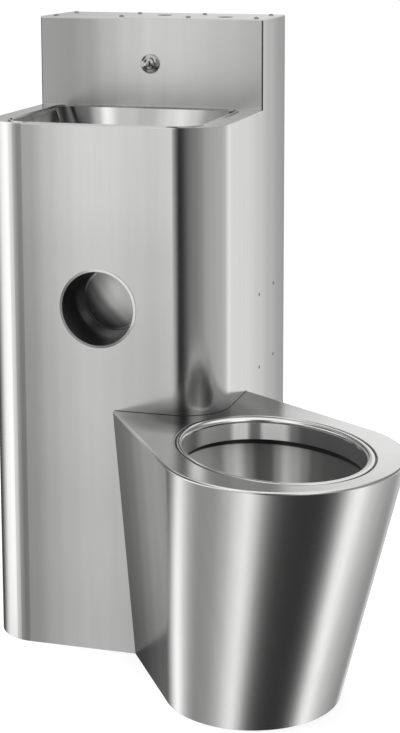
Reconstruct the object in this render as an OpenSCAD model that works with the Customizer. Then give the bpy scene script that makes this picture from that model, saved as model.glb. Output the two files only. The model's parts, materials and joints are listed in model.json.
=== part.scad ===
// Toilet and basin combination unit: a stainless steel column with a basin in its top, a recess for a
// toilet roll in its front, and a toilet pan that grows out of its front right corner at 45 degrees.
// The back lies on y = 0, the floor on z = 0, and the column is centred on x = 0. It faces -Y.

/* [Column] */
// Width of the column
column_w = 390; // [370:5:430]
// Depth of the column, from the wall to its front
column_d = 420; // [410:5:460]
// Height of the basin deck
deck_z = 850; // [830:5:890]
// Height of the upstand above the deck
upstand_h = 150; // [140:5:200]
// Depth of the upstand behind the basin
upstand_d = 150; // [145:5:165]
// Outer radius of the two front corners
corner_r = 72; // [60:1:85]
// Thickness of the stainless steel sheet
sheet_t = 2; // [1.5:0.5:2.5]
// Width of the flange folded in along each back edge
flange_w = 25; // [22:1:32]

/* [Basin] */
// Deck left on each side of the opening
basin_side_strip = 36; // [32:1:50]
// Deck left in front of the opening
basin_front_strip = 6; // [5:1:30]
// Deck left between the opening and the upstand
basin_back_strip = 4; // [4:1:20]
// Corner radius of the opening at the front
basin_front_r = 45; // [35:1:60]
// Corner radius of the opening at the back
basin_back_r = 26; // [20:1:50]
// Depth of the bowl from the deck to its waste
basin_h = 132; // [115:1:150]
// How far the bowl's sides draw in before the rounding to the floor
basin_draw = 22; // [15:1:35]
// Rounding between the bowl's sides and its floor
basin_fillet = 34; // [25:1:45]
// Fall of the bowl's floor towards the waste
basin_fall = 8; // [4:1:12]
// Width of the raised rim round the opening
rim_w = 3; // [2:0.5:4]
// Height of the raised rim above the deck
rim_h = 1.5; // [1:0.5:3]

/* [Toilet roll recess] */
// Outer diameter of the recess
recess_d = 122; // [110:1:140]
// Height of the middle of the recess
recess_z = 562; // [540:2:600]
// Depth of the recess from the front to its shoulder
recess_depth = 80; // [60:1:95]
// Diameter of the domed end of the recess
recess_end_d = 100; // [80:1:106]
// Rise of the domed end
recess_end_rise = 14; // [8:1:20]
// Width of the lip that laps over the front
recess_lip_w = 2; // [1.5:0.5:5]
// Height of the lip above the front
recess_lip_t = 1; // [0.8:0.1:2]
// Diameter of the bead round the domed end
recess_bead_d = 4; // [3:0.5:6]

/* [Pan] */
// Height of the pan's rim
pan_h = 400; // [380:5:440]
// Radius of the pan's round front at the rim
pan_top_r = 180; // [175:1:195]
// Distance from the column's square corner to the centre of that round at the rim
pan_top_u = 196; // [190:1:215]
// Radius of the pan's round front at the floor
pan_base_r = 135; // [128:1:145]
// Distance from the column's square corner to the centre of that round at the floor
pan_base_u = 108; // [100:1:120]
// Angle by which each flat side of the pan turns away from its axis
pan_flare = 11; // [8:0.5:13]
// Distance from the column's square corner to the middle of the seat ring
seat_u = 171; // [168:1:176]
// Half length of the seat ring
seat_a = 176.5; // [173:0.5:180]
// Half width of the seat ring
seat_b = 135.5; // [133:0.5:142]
// Width of the groove round the seat ring
seat_groove = 1.5; // [1:0.25:2.5]
// Distance from the column's square corner to the middle of the mouth
mouth_u = 168; // [166:1:171]
// Half length of the mouth
mouth_a = 159; // [154:1:161]
// Half width of the mouth
mouth_b = 124.5; // [120:0.5:126]
// Fall of the seat ring from its edge to the mouth
mouth_drop = 6; // [4:0.5:7]
// Height of the collar that hangs in the mouth
collar_h = 26; // [22:1:34]
// Height of the outlet's axis above the floor
outlet_z = 200; // [195:5:215]
// Outer radius of the pan's trap and outlet
outlet_r = 45; // [40:1:48]
// Bend radius of the pan's trap
trap_bend_r = 54; // [52:1:56]
// Distance from the column's square corner to the sump of the bowl
sump_u = 130; // [124:1:136]

/* [Tap] */
// Height of the tap's axis above the deck
tap_rise = 73; // [65:1:80]
// Diameter of the tap's domed collar
tap_d = 33; // [31:1:40]
// Height of the collar above the upstand
tap_collar_h = 9; // [7:0.5:12]
// Diameter of the push button
button_d = 19; // [16:0.5:20]
// Rise of the button's dome above the collar
button_rise = 4; // [2.5:0.5:6]
// Travel of the push button
button_travel = 5; // [3:0.5:6]

/* [Pipes] */
// Outer diameter of the basin's supply tube
supply_d = 15; // [12:1:16]
// Outer diameter of the flush supply tube
flush_supply_d = 18; // [15:1:18]
// Outer diameter of the flush pipe
flush_d = 28; // [25:1:32]
// Depth of the flush pipe's axis below the pan's rim
flush_drop = 23; // [21:1:26]
// Outer diameter of the basin's waste pipe
waste_d = 40; // [36:1:44]
// Wall of the supply and flush tubes
tube_t = 1.5; // [1:0.25:2]
// Distance from the wall to the basin's supply
supply_y = 68; // [64:1:72]
// Distance from the right side to the flush supply
flush_inset = 78; // [73:1:90]
// Distance from the wall to the flush supply
flush_y = 100; // [90:1:104]

/* [Fixings] */
// Diameter of the holes for wall and floor bolts
bolt_hole_d = 11; // [9:0.5:13]
// Height of the lower pair of wall bolts
wall_low_z = 380; // [370:5:420]
// Distance from the top of the unit to the upper pair of wall bolts
wall_high_drop = 60; // [50:5:100]
// Distance from each side to the floor bolt in the base rail
floor_bolt_inset = 65; // [55:5:95]
// Distance from the pan's side at the floor to each of its floor bolts
pan_bolt_inset = 30; // [25:1:36]

/* [Hidden] */
$fn = 96;

// How far a cut runs past the face that it opens
overrun = 1;
// Clearance round a piece that slides or turns in another
running_gap = 0.05;
// Clearance round a screw or bolt that passes through a plate
screw_gap = 0.35;

// Cap of the upstand
cap_margin = 26;
cap_end_margin = 18;
cap_ledge_w = 36;
cap_frame_t = 3;
gasket_t = 1.5;
cap_screw_d = 4.8;
cap_screw_head_d = 9;
cap_screw_head_h = 2.4;
cap_screw_socket_d = 3.4;
cap_screw_tail = 4;
cap_screw_columns = 4;
cap_hole_d = 26;

// Posts and rails of the back frame
post_w = 40;
post_deep = 25;
rail_h = 40;
rail_upper_z = 680;
rail_lower_z = 300;
base_rail_d = 60;
base_rail_t = 3;

// Bracket behind the four screws in the right side
side_screw_pitch_y = 94;
side_screw_pitch_z = 125;
side_screw_y = 122;
side_screw_z = 481.5;
side_screw_d = 4.8;
side_screw_head_d = 7;
side_screw_head_h = 0.8;
side_screw_l = 9;
side_screw_socket_d = 2.5;
bracket_margin = 14;
bracket_t = 3;
clamp_t = 4;
clamp_h = 24;
clamp_gap = 0.2;

// Tap behind the upstand
tap_hole_gap = 0.3;
button_stop_gap = 0.3;
tap_shank_d = 22;
tap_shank_l = 30;
tap_body_d = 30;
tap_body_end = 46;
tap_bore_d = 16;
tap_bore_start = 14;
tap_gland_d = 8;
tap_nut_af = 30;
tap_nut_h = 8;
tap_washer_t = 1.5;
piston_h = 5;
piston_from_shoulder = 6;
spring_wire_d = 1.4;
spring_turns = 6;
spring_inner_gap = 0.8;
port_d = 21;
port_h = 20;
port_way_d = 9;
port_socket_h = 6;
tap_way_d = 2.4;
nozzle_turn = 45;
nozzle_d = 4.4;
nozzle_wall = 1;
nozzle_in = 1.6;
nozzle_proud = 0.6;

// Inlets and stop valves
inlet_top_gap = 4;
inlet_wall = 3;
inlet_h = 22;
inlet_socket_h = 15;
stop_h = 28;
stop_w = 27;
stop_ball_d = 18;
stop_ball_gap = 0.15;
stop_way_d = 10;
flush_stop_h = 40;
flush_stop_w = 36;
flush_stop_ball_d = 26;
flush_stop_way_d = 15;
stem_d = 8;
stem_peg_d = 5;
stem_peg_h = 3;
stem_proud = 6;
stem_slot_w = 1.6;
stem_slot_h = 2;
socket_h = 6;

// Flush pipe's bends
flush_drop_r = 45;
flush_turn_r = 60;
flush_end_u = -1;
flush_socket_l = 15;
socket_lap = 3;
socket_step = 0.5;
grommet_w = 3;
grommet_out = 4;
grommet_in = 6;

// Basin waste and bottle trap
waste_offset = 38;
waste_flange_d = 68;
waste_flange_t = 4;
waste_seat_margin = 3;
waste_body_d = 45;
waste_body_wall = 3;
waste_body_l = 56;
grid_d = 56;
grid_t = 2;
grid_hole_d = 6;
grid_ring_share = 0.62;
grid_ring_n = 10;
grid_inner_share = 0.3;
grid_inner_n = 5;
waste_seal_t = 3;
waste_nut_af = 60;
waste_nut_h = 11;
trap_d = 72;
trap_wall = 3;
trap_overlap = 14;
trap_head_h = 66;
trap_cup_h = 74;
trap_cup_lip = 3;
trap_cup_lip_h = 10;
trap_dip = 26;
trap_arm_l = 22;
pipe_wall = 2;
waste_pipe_in = 14;
// How much slimmer a pipe is in its socket, and how far that stretch shows
spigot_step = 1;
spigot_land = 2;

// Rounding of the loops that make the pan and the basin
loop_n = 96;
corner_n = 9;
side_n = 6;
basin_fillet_n = 6;
bowl_n = 9;
bowl_taper = 1.4;

// Pan, whose axis is turned from the column's width by this angle
pan_turn = 45;
pan_back_u = -150;
seat_flat_w = 5;
bowl_flange_w = 4;
bowl_step = 4;
bowl_sump_r = 62;
bowl_sump_z = 196;
outlet_wall = 2;
outlet_pipe_t = 3;
outlet_socket_l = 30;
seal_t = 4;
seal_grip = 26;
outlet_turn_r = 110;
outlet_turn_u = -168;
tab_w = 60;
tab_deep = 44;
tab_t = 3;
tab_gap = 0.15;

// Values worked out from the sizes above
half_w = column_w / 2;
unit_h = deck_z + upstand_h;
tap_z = deck_z + tap_rise;
flush_x = half_w - flush_inset;
wall_high_z = unit_h - wall_high_drop;
floor_pitch = column_w - 2 * floor_bolt_inset;
pan_pitch = 2 * (pan_base_r - pan_bolt_inset);
flush_z = pan_h - flush_drop;
basin_w = column_w - 2 * basin_side_strip;
basin_y0 = -(column_d - basin_front_strip);
basin_y1 = -(upstand_d + basin_back_strip);
basin_cy = (basin_y0 + basin_y1) / 2;
basin_half_d = (basin_y1 - basin_y0) / 2;
waste_y = -basin_cy - waste_offset;
waste_z = deck_z - basin_h;
panel_y = -upstand_d;
cap_under_z = unit_h - sheet_t;
cap_frame_z = cap_under_z - gasket_t - cap_frame_t;
cap_front_y = -(upstand_d - cap_margin);
cap_back_y = -cap_margin;
cap_pitch = (column_w - 2 * cap_end_margin) / (cap_screw_columns - 1);
post_x = half_w - sheet_t - post_w;
inlet_top_z = unit_h - inlet_top_gap;
stop_top_z = inlet_top_z - inlet_h;
stop_z = stop_top_z - stop_h / 2;
flush_stop_z = stop_top_z - flush_stop_h / 2;
flush_top_z = stop_top_z - flush_stop_h + socket_h;
port_top_z = tap_z + port_h;
tap_way_r = tap_d / 2 - tap_collar_h;
button_back_h = button_travel + button_stop_gap;
tap_shoulder_y = panel_y + tap_shank_l;
tap_back_y = -tap_body_end;
piston_y = tap_shoulder_y + piston_from_shoulder;
spring_end_y = tap_back_y - inlet_wall;
trap_top_z = waste_z - waste_body_l + trap_overlap;
trap_joint_z = trap_top_z - trap_head_h;
waste_pipe_z = trap_joint_z + trap_head_h / 2;
bowl_top_z = pan_h - sheet_t;
collar_top_z = pan_h - mouth_drop - sheet_t;
collar_low_z = collar_top_z - collar_h;
trap_start_z = outlet_z - trap_bend_r;
trap_rise_u = sump_u - 2 * trap_bend_r;
trap_end_u = trap_rise_u - trap_bend_r - seal_grip;
flush_turn_l = flush_turn_r * tan(pan_turn / 2);
flush_y1 = -flush_y - flush_drop_r;
flush_y0 = -(column_d - half_w + flush_x) + flush_turn_l;
flush_tail_u = -(half_w - flush_x) * sqrt(2) + flush_turn_l;
outlet_turn_l = outlet_turn_r * tan(pan_turn / 2);
outlet_neck_u = outlet_turn_u + outlet_turn_l;
outlet_y0 = -column_d - outlet_turn_u / sqrt(2) + outlet_turn_l;
fixing_x = half_w - (flange_w + sheet_t) / 2;
steel = "silver";
brass = "goldenrod";
black = "dimgray";

// Column outline seen from above, drawn in by an inset, with the back edge on y = 0
module column_outline(inset) {
  low_y = -column_d + corner_r;
  translate([-half_w + inset, low_y]) square([column_w - 2 * inset, column_d - corner_r]);
  translate([-half_w + corner_r, -column_d + inset])
    square([column_w - 2 * corner_r, corner_r - inset + overrun]);
  for (side = [-1, 1]) translate([side * (half_w - corner_r), low_y]) circle(r = corner_r - inset);
}

// The column as a full block, which everything that meets it from outside is cut by
module column_block() {
  linear_extrude(deck_z) column_outline(0);
}

// Places children in the pan's frame: u runs out from the column's square corner along the pan's axis
module pan_frame() {
  translate([half_w, -column_d, 0]) rotate([0, 0, -pan_turn]) children();
}

// A cylinder along +Y from y0 to y1, round the axis through x and z
module rod_y(x, z, y0, y1, r) {
  translate([x, y0, z]) rotate([-90, 0, 0]) cylinder(h = y1 - y0, r = r);
}

// A cylinder along +X from x0 to x1, round the axis through y and z
module rod_x(y, z, x0, x1, r) {
  translate([x0, y, z]) rotate([0, 90, 0]) cylinder(h = x1 - x0, r = r);
}

// A straight tube along +Z
module tube(h, r, wall) {
  difference() {
    cylinder(h = h, r = r);
    translate([0, 0, -overrun]) cylinder(h = h + 2 * overrun, r = r - wall);
  }
}

// A tube whose first stretch is slimmer, to go into a socket
module spigot_tube(h, r, wall, spigot_l) {
  difference() {
    union() {
      cylinder(h = h, r = r - spigot_step);
      translate([0, 0, spigot_l]) cylinder(h = h - spigot_l, r = r);
    }
    translate([0, 0, -overrun]) cylinder(h = h + 2 * overrun, r = r - wall);
  }
}

// A straight run of pipe from the origin along -Z, with what follows it placed at its end
module straight_run(run, r, wall) {
  translate([0, 0, -run]) {
    tube(run, r, wall);
    children();
  }
}

// Sweeps a flat shape round a bend that starts at the origin along -Z and turns towards +X
module round_bend(turn, bend_r) {
  translate([bend_r, 0, 0]) rotate([90, 0, 0]) rotate([0, 0, 180]) rotate_extrude(angle = turn)
    translate([bend_r, 0]) children();
}

// Places children where such a bend ends, still along -Z
module bend_end(turn, bend_r) {
  translate([bend_r * (1 - cos(turn)), 0, -bend_r * sin(turn)]) rotate([0, -turn, 0]) children();
}

// A bent tube, with what follows it placed at its end
module bent_run(turn, bend_r, r, wall) {
  round_bend(turn, bend_r) difference() {
    circle(r = r);
    circle(r = r - wall);
  }
  bend_end(turn, bend_r) children();
}

// A bend with a socket at each end for a pipe of outer radius r, the far one for a pipe slimmer by a step
module socket_bend(turn, bend_r, r, wall, socket_l, far_step) {
  bore_r = r + running_gap;
  difference() {
    union() {
      round_bend(turn, bend_r) circle(r = r);
      translate([0, 0, -socket_lap]) cylinder(h = socket_l + socket_lap, r = bore_r + wall);
      bend_end(turn, bend_r) translate([0, 0, -socket_l])
        cylinder(h = socket_l + socket_lap, r = bore_r + wall);
    }
    round_bend(turn, bend_r) circle(r = r - wall);
    translate([0, 0, -socket_step]) cylinder(h = socket_l + socket_step + overrun, r = bore_r);
    bend_end(turn, bend_r) translate([0, 0, -socket_l - overrun])
      cylinder(h = socket_l + socket_step + overrun, r = bore_r - far_step);
  }
}

// Closed skin through a list of loops that all have as many points, the last joined to the first
module loft_ring(loops) {
  n = len(loops[0]);
  m = len(loops);
  points = [for (loop = loops) each loop];
  faces = [
    for (i = [0 : m - 1], j = [0 : n - 1])
      let (a = i * n + j, b = i * n + (j + 1) % n, c = ((i + 1) % m) * n + (j + 1) % n,
        d = ((i + 1) % m) * n + j)
      each [[a, b, c], [a, c, d]]
  ];
  polyhedron(points = points, faces = faces, convexity = 6);
}

// Oval loop round a centre on the pan's axis
function oval(u, a, b, z) = [
  for (j = [0 : loop_n - 1]) let (t = 360 * j / loop_n) [u + a * cos(t), b * sin(t), z]
];

// Pan outline at a height: a round front, two flat sides that lie against it, and a straight back
function dee(u, r, z, back_u) =
  let (
    half_turn = 90 + pan_flare,
    side_u = u - r * sin(pan_flare),
    side_v = r * cos(pan_flare),
    back_v = side_v - tan(pan_flare) * (side_u - back_u)
  )
  concat(
    [for (j = [0 : loop_n]) let (t = half_turn * (2 * j / loop_n - 1)) [u + r * cos(t), r * sin(t), z]],
    [[back_u, back_v, z], [back_u, -back_v, z]]
  );

function flat(loop) = [for (p = loop) [p[0], p[1]]];

// Share of the way from the floor to the rim, and the pan's round front there
function pan_u(z) = pan_base_u + (pan_top_u - pan_base_u) * z / pan_h;
function pan_r(z) = pan_base_r + (pan_top_r - pan_base_r) * z / pan_h;

// Points of a rectangle with round corners, used for the directions in which the basin is sampled
function basin_corner(cx, cy, r, start) = [
  for (j = [0 : corner_n]) let (t = start + 90 * j / corner_n) [cx + r * cos(t), cy + r * sin(t)]
];
function between(p, q) = [for (i = [1 : side_n - 1]) p + (q - p) * i / side_n];
function basin_points(a, b, rf, rb) =
  let (
    right_back = basin_corner(a - rb, b - rb, rb, 0),
    left_back = basin_corner(-a + rb, b - rb, rb, 90),
    left_front = basin_corner(-a + rf, -b + rf, rf, 180),
    right_front = basin_corner(a - rf, -b + rf, rf, 270)
  )
  concat(
    right_back, between(right_back[corner_n], left_back[0]),
    left_back, between(left_back[corner_n], left_front[0]),
    left_front, between(left_front[corner_n], right_front[0]),
    right_front, between(right_front[corner_n], right_back[0])
  );
basin_directions = [
  for (p = basin_points(basin_w / 2, basin_half_d, basin_front_r, basin_back_r)) atan2(p[1], p[0])
];

// Distance to a rectangle with round corners of radius r, from its middle along direction t
function reach(t, a, b, r) =
  let (c = abs(cos(t)), s = abs(sin(t)), cross = c * (b - r) - s * (a - r))
  s * a <= c * (b - r) ? a / c :
  c * b <= s * (a - r) ? b / s :
  c * (a - r) + s * (b - r) + sqrt(max(0, r * r - cross * cross));

function basin_loop(cy, a, b, rf, rb, z) = [
  for (t = basin_directions) let (k = reach(t, a, b, sin(t) > 0 ? rb : rf)) [k * cos(t), cy + k * sin(t), z]
];

// One skin of the basin's bowl, from the deck down to the waste hole; out is the distance outwards
function basin_skin(out) =
  let (
    floor_z = waste_z + basin_fall,
    knee_z = floor_z + basin_fillet,
    a = basin_w / 2 - basin_draw,
    b = basin_half_d - basin_draw,
    rf = basin_front_r,
    rb = basin_back_r,
    seat_r = waste_flange_d / 2 + waste_seat_margin
  )
  concat(
    [basin_loop(basin_cy, basin_w / 2 + out, basin_half_d + out, rf + out, rb + out, deck_z - sheet_t)],
    [
      for (i = [0 : basin_fillet_n])
        let (
          t = 90 * i / basin_fillet_n,
          draw = basin_fillet * (1 - cos(t)) - out * cos(t),
          z = knee_z - basin_fillet * sin(t) - out * sin(t)
        )
        basin_loop(basin_cy, a - draw, b - draw, rf + basin_draw - draw / 2, rb + basin_draw - draw / 2, z)
    ],
    [basin_loop(-waste_y, seat_r, seat_r, seat_r, seat_r, waste_z - out)],
    [basin_loop(-waste_y, waste_hole_r, waste_hole_r, waste_hole_r, waste_hole_r, waste_z - out)]
  );
waste_hole_r = waste_body_d / 2 + screw_gap;

function reversed(list) = [for (i = [len(list) - 1 : -1 : 0]) list[i]];

// One skin of the pan's bowl, from under the rim down to the trap; out is the distance outwards
function bowl_skin(out) = concat(
  [oval(seat_u, seat_a + out, seat_b + out, bowl_top_z - sheet_t)],
  [
    for (i = [0 : bowl_n])
      let (
        t = 90 * i / bowl_n,
        k = pow(cos(t), bowl_taper),
        drop = (collar_low_z - bowl_sump_z) * sin(t)
      )
      oval(
        sump_u + (seat_u - sump_u) * k,
        bowl_sump_r + (seat_a - bowl_step - bowl_sump_r) * k + out * k,
        bowl_sump_r + (seat_b - bowl_step - bowl_sump_r) * k + out * k,
        collar_low_z - drop - out * (1 - k)
      )
  ],
  [oval(sump_u, outlet_r - outlet_wall + out, outlet_r - outlet_wall + out, trap_start_z)]
);

// Sheet that makes the front, both sides and the folded back edges, with its holes
module column_shell() {
  color(steel) difference() {
    union() {
      linear_extrude(deck_z - sheet_t) difference() {
        column_outline(0);
        difference() {
          column_outline(sheet_t);
          translate([-half_w, -sheet_t]) square([column_w, sheet_t + overrun]);
        }
        translate([-half_w + flange_w, -sheet_t - overrun])
          square([column_w - 2 * flange_w, sheet_t + 2 * overrun]);
      }
      for (side = [0, 1]) mirror([side, 0, 0]) translate([half_w - sheet_t, 0, deck_z - sheet_t]) {
        translate([0, panel_y + sheet_t, 0])
          cube([sheet_t, upstand_d - sheet_t, unit_h - deck_z]);
        translate([sheet_t - flange_w, -sheet_t, 0]) cube([flange_w, sheet_t, unit_h - deck_z]);
      }
    }
    rod_y(0, recess_z, -column_d - overrun, -column_d + sheet_t + overrun, recess_d / 2);
    for (p = side_screw_places())
      rod_x(p[0], p[1], half_w - sheet_t - overrun, half_w + overrun, side_screw_d / 2 + screw_gap);
    wall_bolt_holes();
    pan_frame() {
      diagonal_rod(outlet_z, pan_back_u, 0, outlet_r + seal_t + screw_gap);
      diagonal_rod(flush_z, pan_back_u, 0, flush_d / 2 + grommet_w + running_gap);
    }
  }
}

// Cylinder along the pan's axis between two distances from the column's square corner
module diagonal_rod(z, u0, u1, r) {
  translate([u0, 0, z]) rotate([0, 90, 0]) cylinder(h = u1 - u0, r = r);
}

function side_screw_places() = [
  for (sy = [-1, 1], sz = [-1, 1])
    [-side_screw_y + sy * side_screw_pitch_y / 2, side_screw_z + sz * side_screw_pitch_z / 2]
];

// Holes for the four wall bolts, through the folded flanges and the posts behind them
module wall_bolt_holes() {
  for (sx = [-1, 1], z = [wall_low_z, wall_high_z])
    rod_y(sx * fixing_x, z, -2 * sheet_t - overrun, overrun, bolt_hole_d / 2);
}

// Flat sheet behind the basin, with the hole for the tap
module upstand_panel() {
  color(steel) difference() {
    translate([-half_w, panel_y, deck_z]) cube([column_w, sheet_t, unit_h - sheet_t - deck_z]);
    rod_y(0, tap_z, panel_y - overrun, panel_y + sheet_t + overrun, tap_shank_d / 2 + tap_hole_gap);
  }
}

// Outline of the basin opening, drawn out by a margin
module basin_outline(out) {
  translate([0, basin_cy]) polygon(basin_points(
    basin_w / 2 + out, basin_half_d + out, basin_front_r + out, basin_back_r + out
  ));
}

// Flat top round the basin opening, with its raised rim
module basin_deck() {
  color(steel) translate([0, 0, deck_z - sheet_t]) difference() {
    union() {
      linear_extrude(sheet_t) intersection() {
        column_outline(0);
        translate([-half_w, -column_d]) square([column_w, column_d + panel_y + sheet_t]);
      }
      linear_extrude(sheet_t + rim_h) basin_outline(rim_w);
    }
    translate([0, 0, -overrun]) linear_extrude(sheet_t + rim_h + 2 * overrun) basin_outline(0);
  }
}

// Pressed bowl, which hangs from the deck and falls to its waste
module basin_bowl() {
  color(steel) loft_ring(concat(basin_skin(sheet_t), reversed(basin_skin(0))));
}

function cap_screw_places() = [
  for (i = [0 : cap_screw_columns - 1], y = [cap_front_y, cap_back_y])
    [-half_w + cap_end_margin + i * cap_pitch, y]
];

// Lid of the upstand, with two openings for the supply tubes
module cap_plate() {
  color(steel) translate([0, 0, cap_under_z]) difference() {
    translate([-half_w, -upstand_d, 0]) cube([column_w, upstand_d, sheet_t]);
    for (p = cap_screw_places()) translate([p[0], p[1], -overrun])
      cylinder(h = sheet_t + 2 * overrun, r = cap_screw_d / 2 + screw_gap);
    for (p = [[0, -supply_y], [flush_x, -flush_y]]) translate([p[0], p[1], -overrun])
      cylinder(h = sheet_t + 2 * overrun, r = cap_hole_d / 2);
  }
}

// Flat ring under the cap, between the sides and the upstand panel
module cap_ledge(h, hole_r) {
  inner_w = column_w - 2 * sheet_t;
  inner_d = upstand_d - 2 * sheet_t;
  difference() {
    translate([-inner_w / 2, panel_y + sheet_t, 0]) cube([inner_w, inner_d, h]);
    translate([-inner_w / 2 + cap_ledge_w, panel_y + sheet_t + cap_ledge_w, -overrun])
      cube([inner_w - 2 * cap_ledge_w, inner_d - 2 * cap_ledge_w, h + 2 * overrun]);
    for (p = cap_screw_places()) translate([p[0], p[1], -overrun])
      cylinder(h = h + 2 * overrun, r = hole_r);
  }
}

module cap_frame() {
  color(steel) translate([0, 0, cap_frame_z]) cap_ledge(cap_frame_t, cap_screw_d / 2 + running_gap);
}

module cap_gasket() {
  color(black) translate([0, 0, cap_under_z - gasket_t])
    cap_ledge(gasket_t, cap_screw_d / 2 + screw_gap);
}

// Round-headed screw with a hexagon socket, head up, its underside on z = 0
module round_screw(head_d, head_h, shank_d, shank_l, socket_d) {
  head_r = head_d / 2;
  ball_r = (head_r * head_r + head_h * head_h) / (2 * head_h);
  difference() {
    union() {
      intersection() {
        translate([0, 0, head_h - ball_r]) sphere(r = ball_r);
        cylinder(h = head_h + overrun, r = head_r);
      }
      translate([0, 0, -shank_l]) cylinder(h = shank_l, r = shank_d / 2);
    }
    translate([0, 0, head_h / 2]) cylinder(h = head_h, r = socket_d / 2, $fn = 6);
  }
}

module cap_screws() {
  shank_l = unit_h - cap_frame_z + cap_screw_tail;
  color(steel) for (p = cap_screw_places()) translate([p[0], p[1], unit_h])
    round_screw(cap_screw_head_d, cap_screw_head_h, cap_screw_d, shank_l, cap_screw_socket_d);
}

// Tube of the toilet roll recess, with a lip at the front and a shoulder at the back
module recess_cup() {
  r = recess_d / 2;
  color(steel) translate([0, -column_d, recess_z]) rotate([-90, 0, 0]) difference() {
    union() {
      cylinder(h = recess_depth, r = r);
      translate([0, 0, -recess_lip_t]) cylinder(h = recess_lip_t, r = r + recess_lip_w);
    }
    translate([0, 0, -recess_lip_t - overrun])
      cylinder(h = recess_depth + recess_lip_t + overrun - sheet_t, r = r - sheet_t);
    cylinder(h = recess_depth + overrun, r = recess_end_d / 2 - sheet_t);
  }
}

// Domed end of the recess, which rises towards the front, with a bead round it
module recess_end() {
  r = recess_end_d / 2;
  ball_r = (r * r + recess_end_rise * recess_end_rise) / (2 * recess_end_rise);
  color(steel) translate([0, -column_d + recess_depth - sheet_t, recess_z]) rotate([90, 0, 0]) {
    intersection() {
      translate([0, 0, recess_end_rise - ball_r]) difference() {
        sphere(r = ball_r);
        sphere(r = ball_r - sheet_t);
      }
      cylinder(h = recess_end_rise + overrun, r = r);
    }
    rotate_extrude() difference() {
      translate([r, 0]) circle(d = recess_bead_d);
      translate([r - recess_bead_d, -recess_bead_d]) square([2 * recess_bead_d, recess_bead_d]);
    }
  }
}

// Channel that stiffens one side of the back and takes its wall bolts
module back_post(side) {
  color(steel) difference() {
    translate([side > 0 ? post_x : -post_x - post_w, -sheet_t - post_deep, base_rail_t]) difference() {
      cube([post_w, post_deep, cap_frame_z - base_rail_t]);
      translate([sheet_t, -overrun, -overrun])
        cube([post_w - 2 * sheet_t, post_deep - sheet_t + overrun, cap_frame_z + 2 * overrun]);
    }
    wall_bolt_holes();
  }
}

// Channel between the two posts
module cross_rail(z) {
  color(steel) translate([-post_x, -sheet_t - post_deep, z]) difference() {
    cube([2 * post_x, post_deep, rail_h]);
    translate([-overrun, -overrun, sheet_t])
      cube([2 * post_x + 2 * overrun, post_deep - sheet_t + overrun, rail_h - 2 * sheet_t]);
  }
}

// Flat bar on the floor that carries the posts, with two holes for floor bolts
module base_rail() {
  inner_w = column_w - 2 * sheet_t;
  open_w = column_w - 2 * flange_w;
  color(steel) difference() {
    union() {
      translate([-inner_w / 2, -base_rail_d, 0]) cube([inner_w, base_rail_d - sheet_t, base_rail_t]);
      translate([-open_w / 2, -base_rail_d, 0]) cube([open_w, base_rail_d, base_rail_t]);
    }
    for (sx = [-1, 1]) translate([sx * floor_pitch / 2, -base_rail_d / 2, -overrun])
      cylinder(h = base_rail_t + 2 * overrun, r = bolt_hole_d / 2);
  }
}

// Turns a profile of radius and height above the upstand round the tap's axis
module turned_on_tap() {
  translate([0, panel_y, tap_z]) rotate([90, 0, 0]) rotate_extrude() children();
}

// Domed ring on the upstand that the button slides in
module tap_collar() {
  r = tap_d / 2;
  bore_r = button_d / 2 + running_gap;
  color(steel) difference() {
    turned_on_tap() intersection() {
      translate([bore_r, 0]) square([r - bore_r, tap_collar_h]);
      union() {
        translate([r - tap_collar_h, 0]) circle(r = tap_collar_h);
        square([r - tap_collar_h, tap_collar_h]);
      }
    }
    nozzle_place() cylinder(h = tap_collar_h, r = nozzle_d / 2 + running_gap);
    nozzle_place() translate([0, 0, -tap_collar_h]) cylinder(h = 2 * tap_collar_h, r = tap_way_d / 2);
  }
}

// Places the nozzle below the button, pointing forward and down, its mouth on the collar's curve
module nozzle_place() {
  translate([0, panel_y, tap_z - tap_way_r]) rotate([90 + nozzle_turn, 0, 0])
    translate([0, 0, tap_collar_h - nozzle_in]) children();
}

// Ring that the water leaves by, set in the collar
module spout_nozzle() {
  color(black) nozzle_place() tube(nozzle_in + nozzle_proud, nozzle_d / 2, nozzle_wall);
}

// Push button: a dome on a plunger that slides in the collar
module tap_button() {
  r = button_d / 2;
  ball_r = (r * r + button_rise * button_rise) / (2 * button_rise);
  color(steel) turned_on_tap() {
    translate([0, button_back_h]) square([r, tap_collar_h - button_back_h]);
    intersection() {
      translate([0, tap_collar_h + button_rise - ball_r]) circle(r = ball_r);
      translate([0, tap_collar_h]) square([r, button_rise]);
    }
  }
}

// Stem behind the button, with the piston that opens the valve
module tap_spindle() {
  color(brass) {
    rod_y(0, tap_z, panel_y - button_back_h, piston_y, tap_gland_d / 2);
    rod_y(0, tap_z, piston_y, piston_y + piston_h, tap_bore_d / 2 - running_gap);
  }
}

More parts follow.
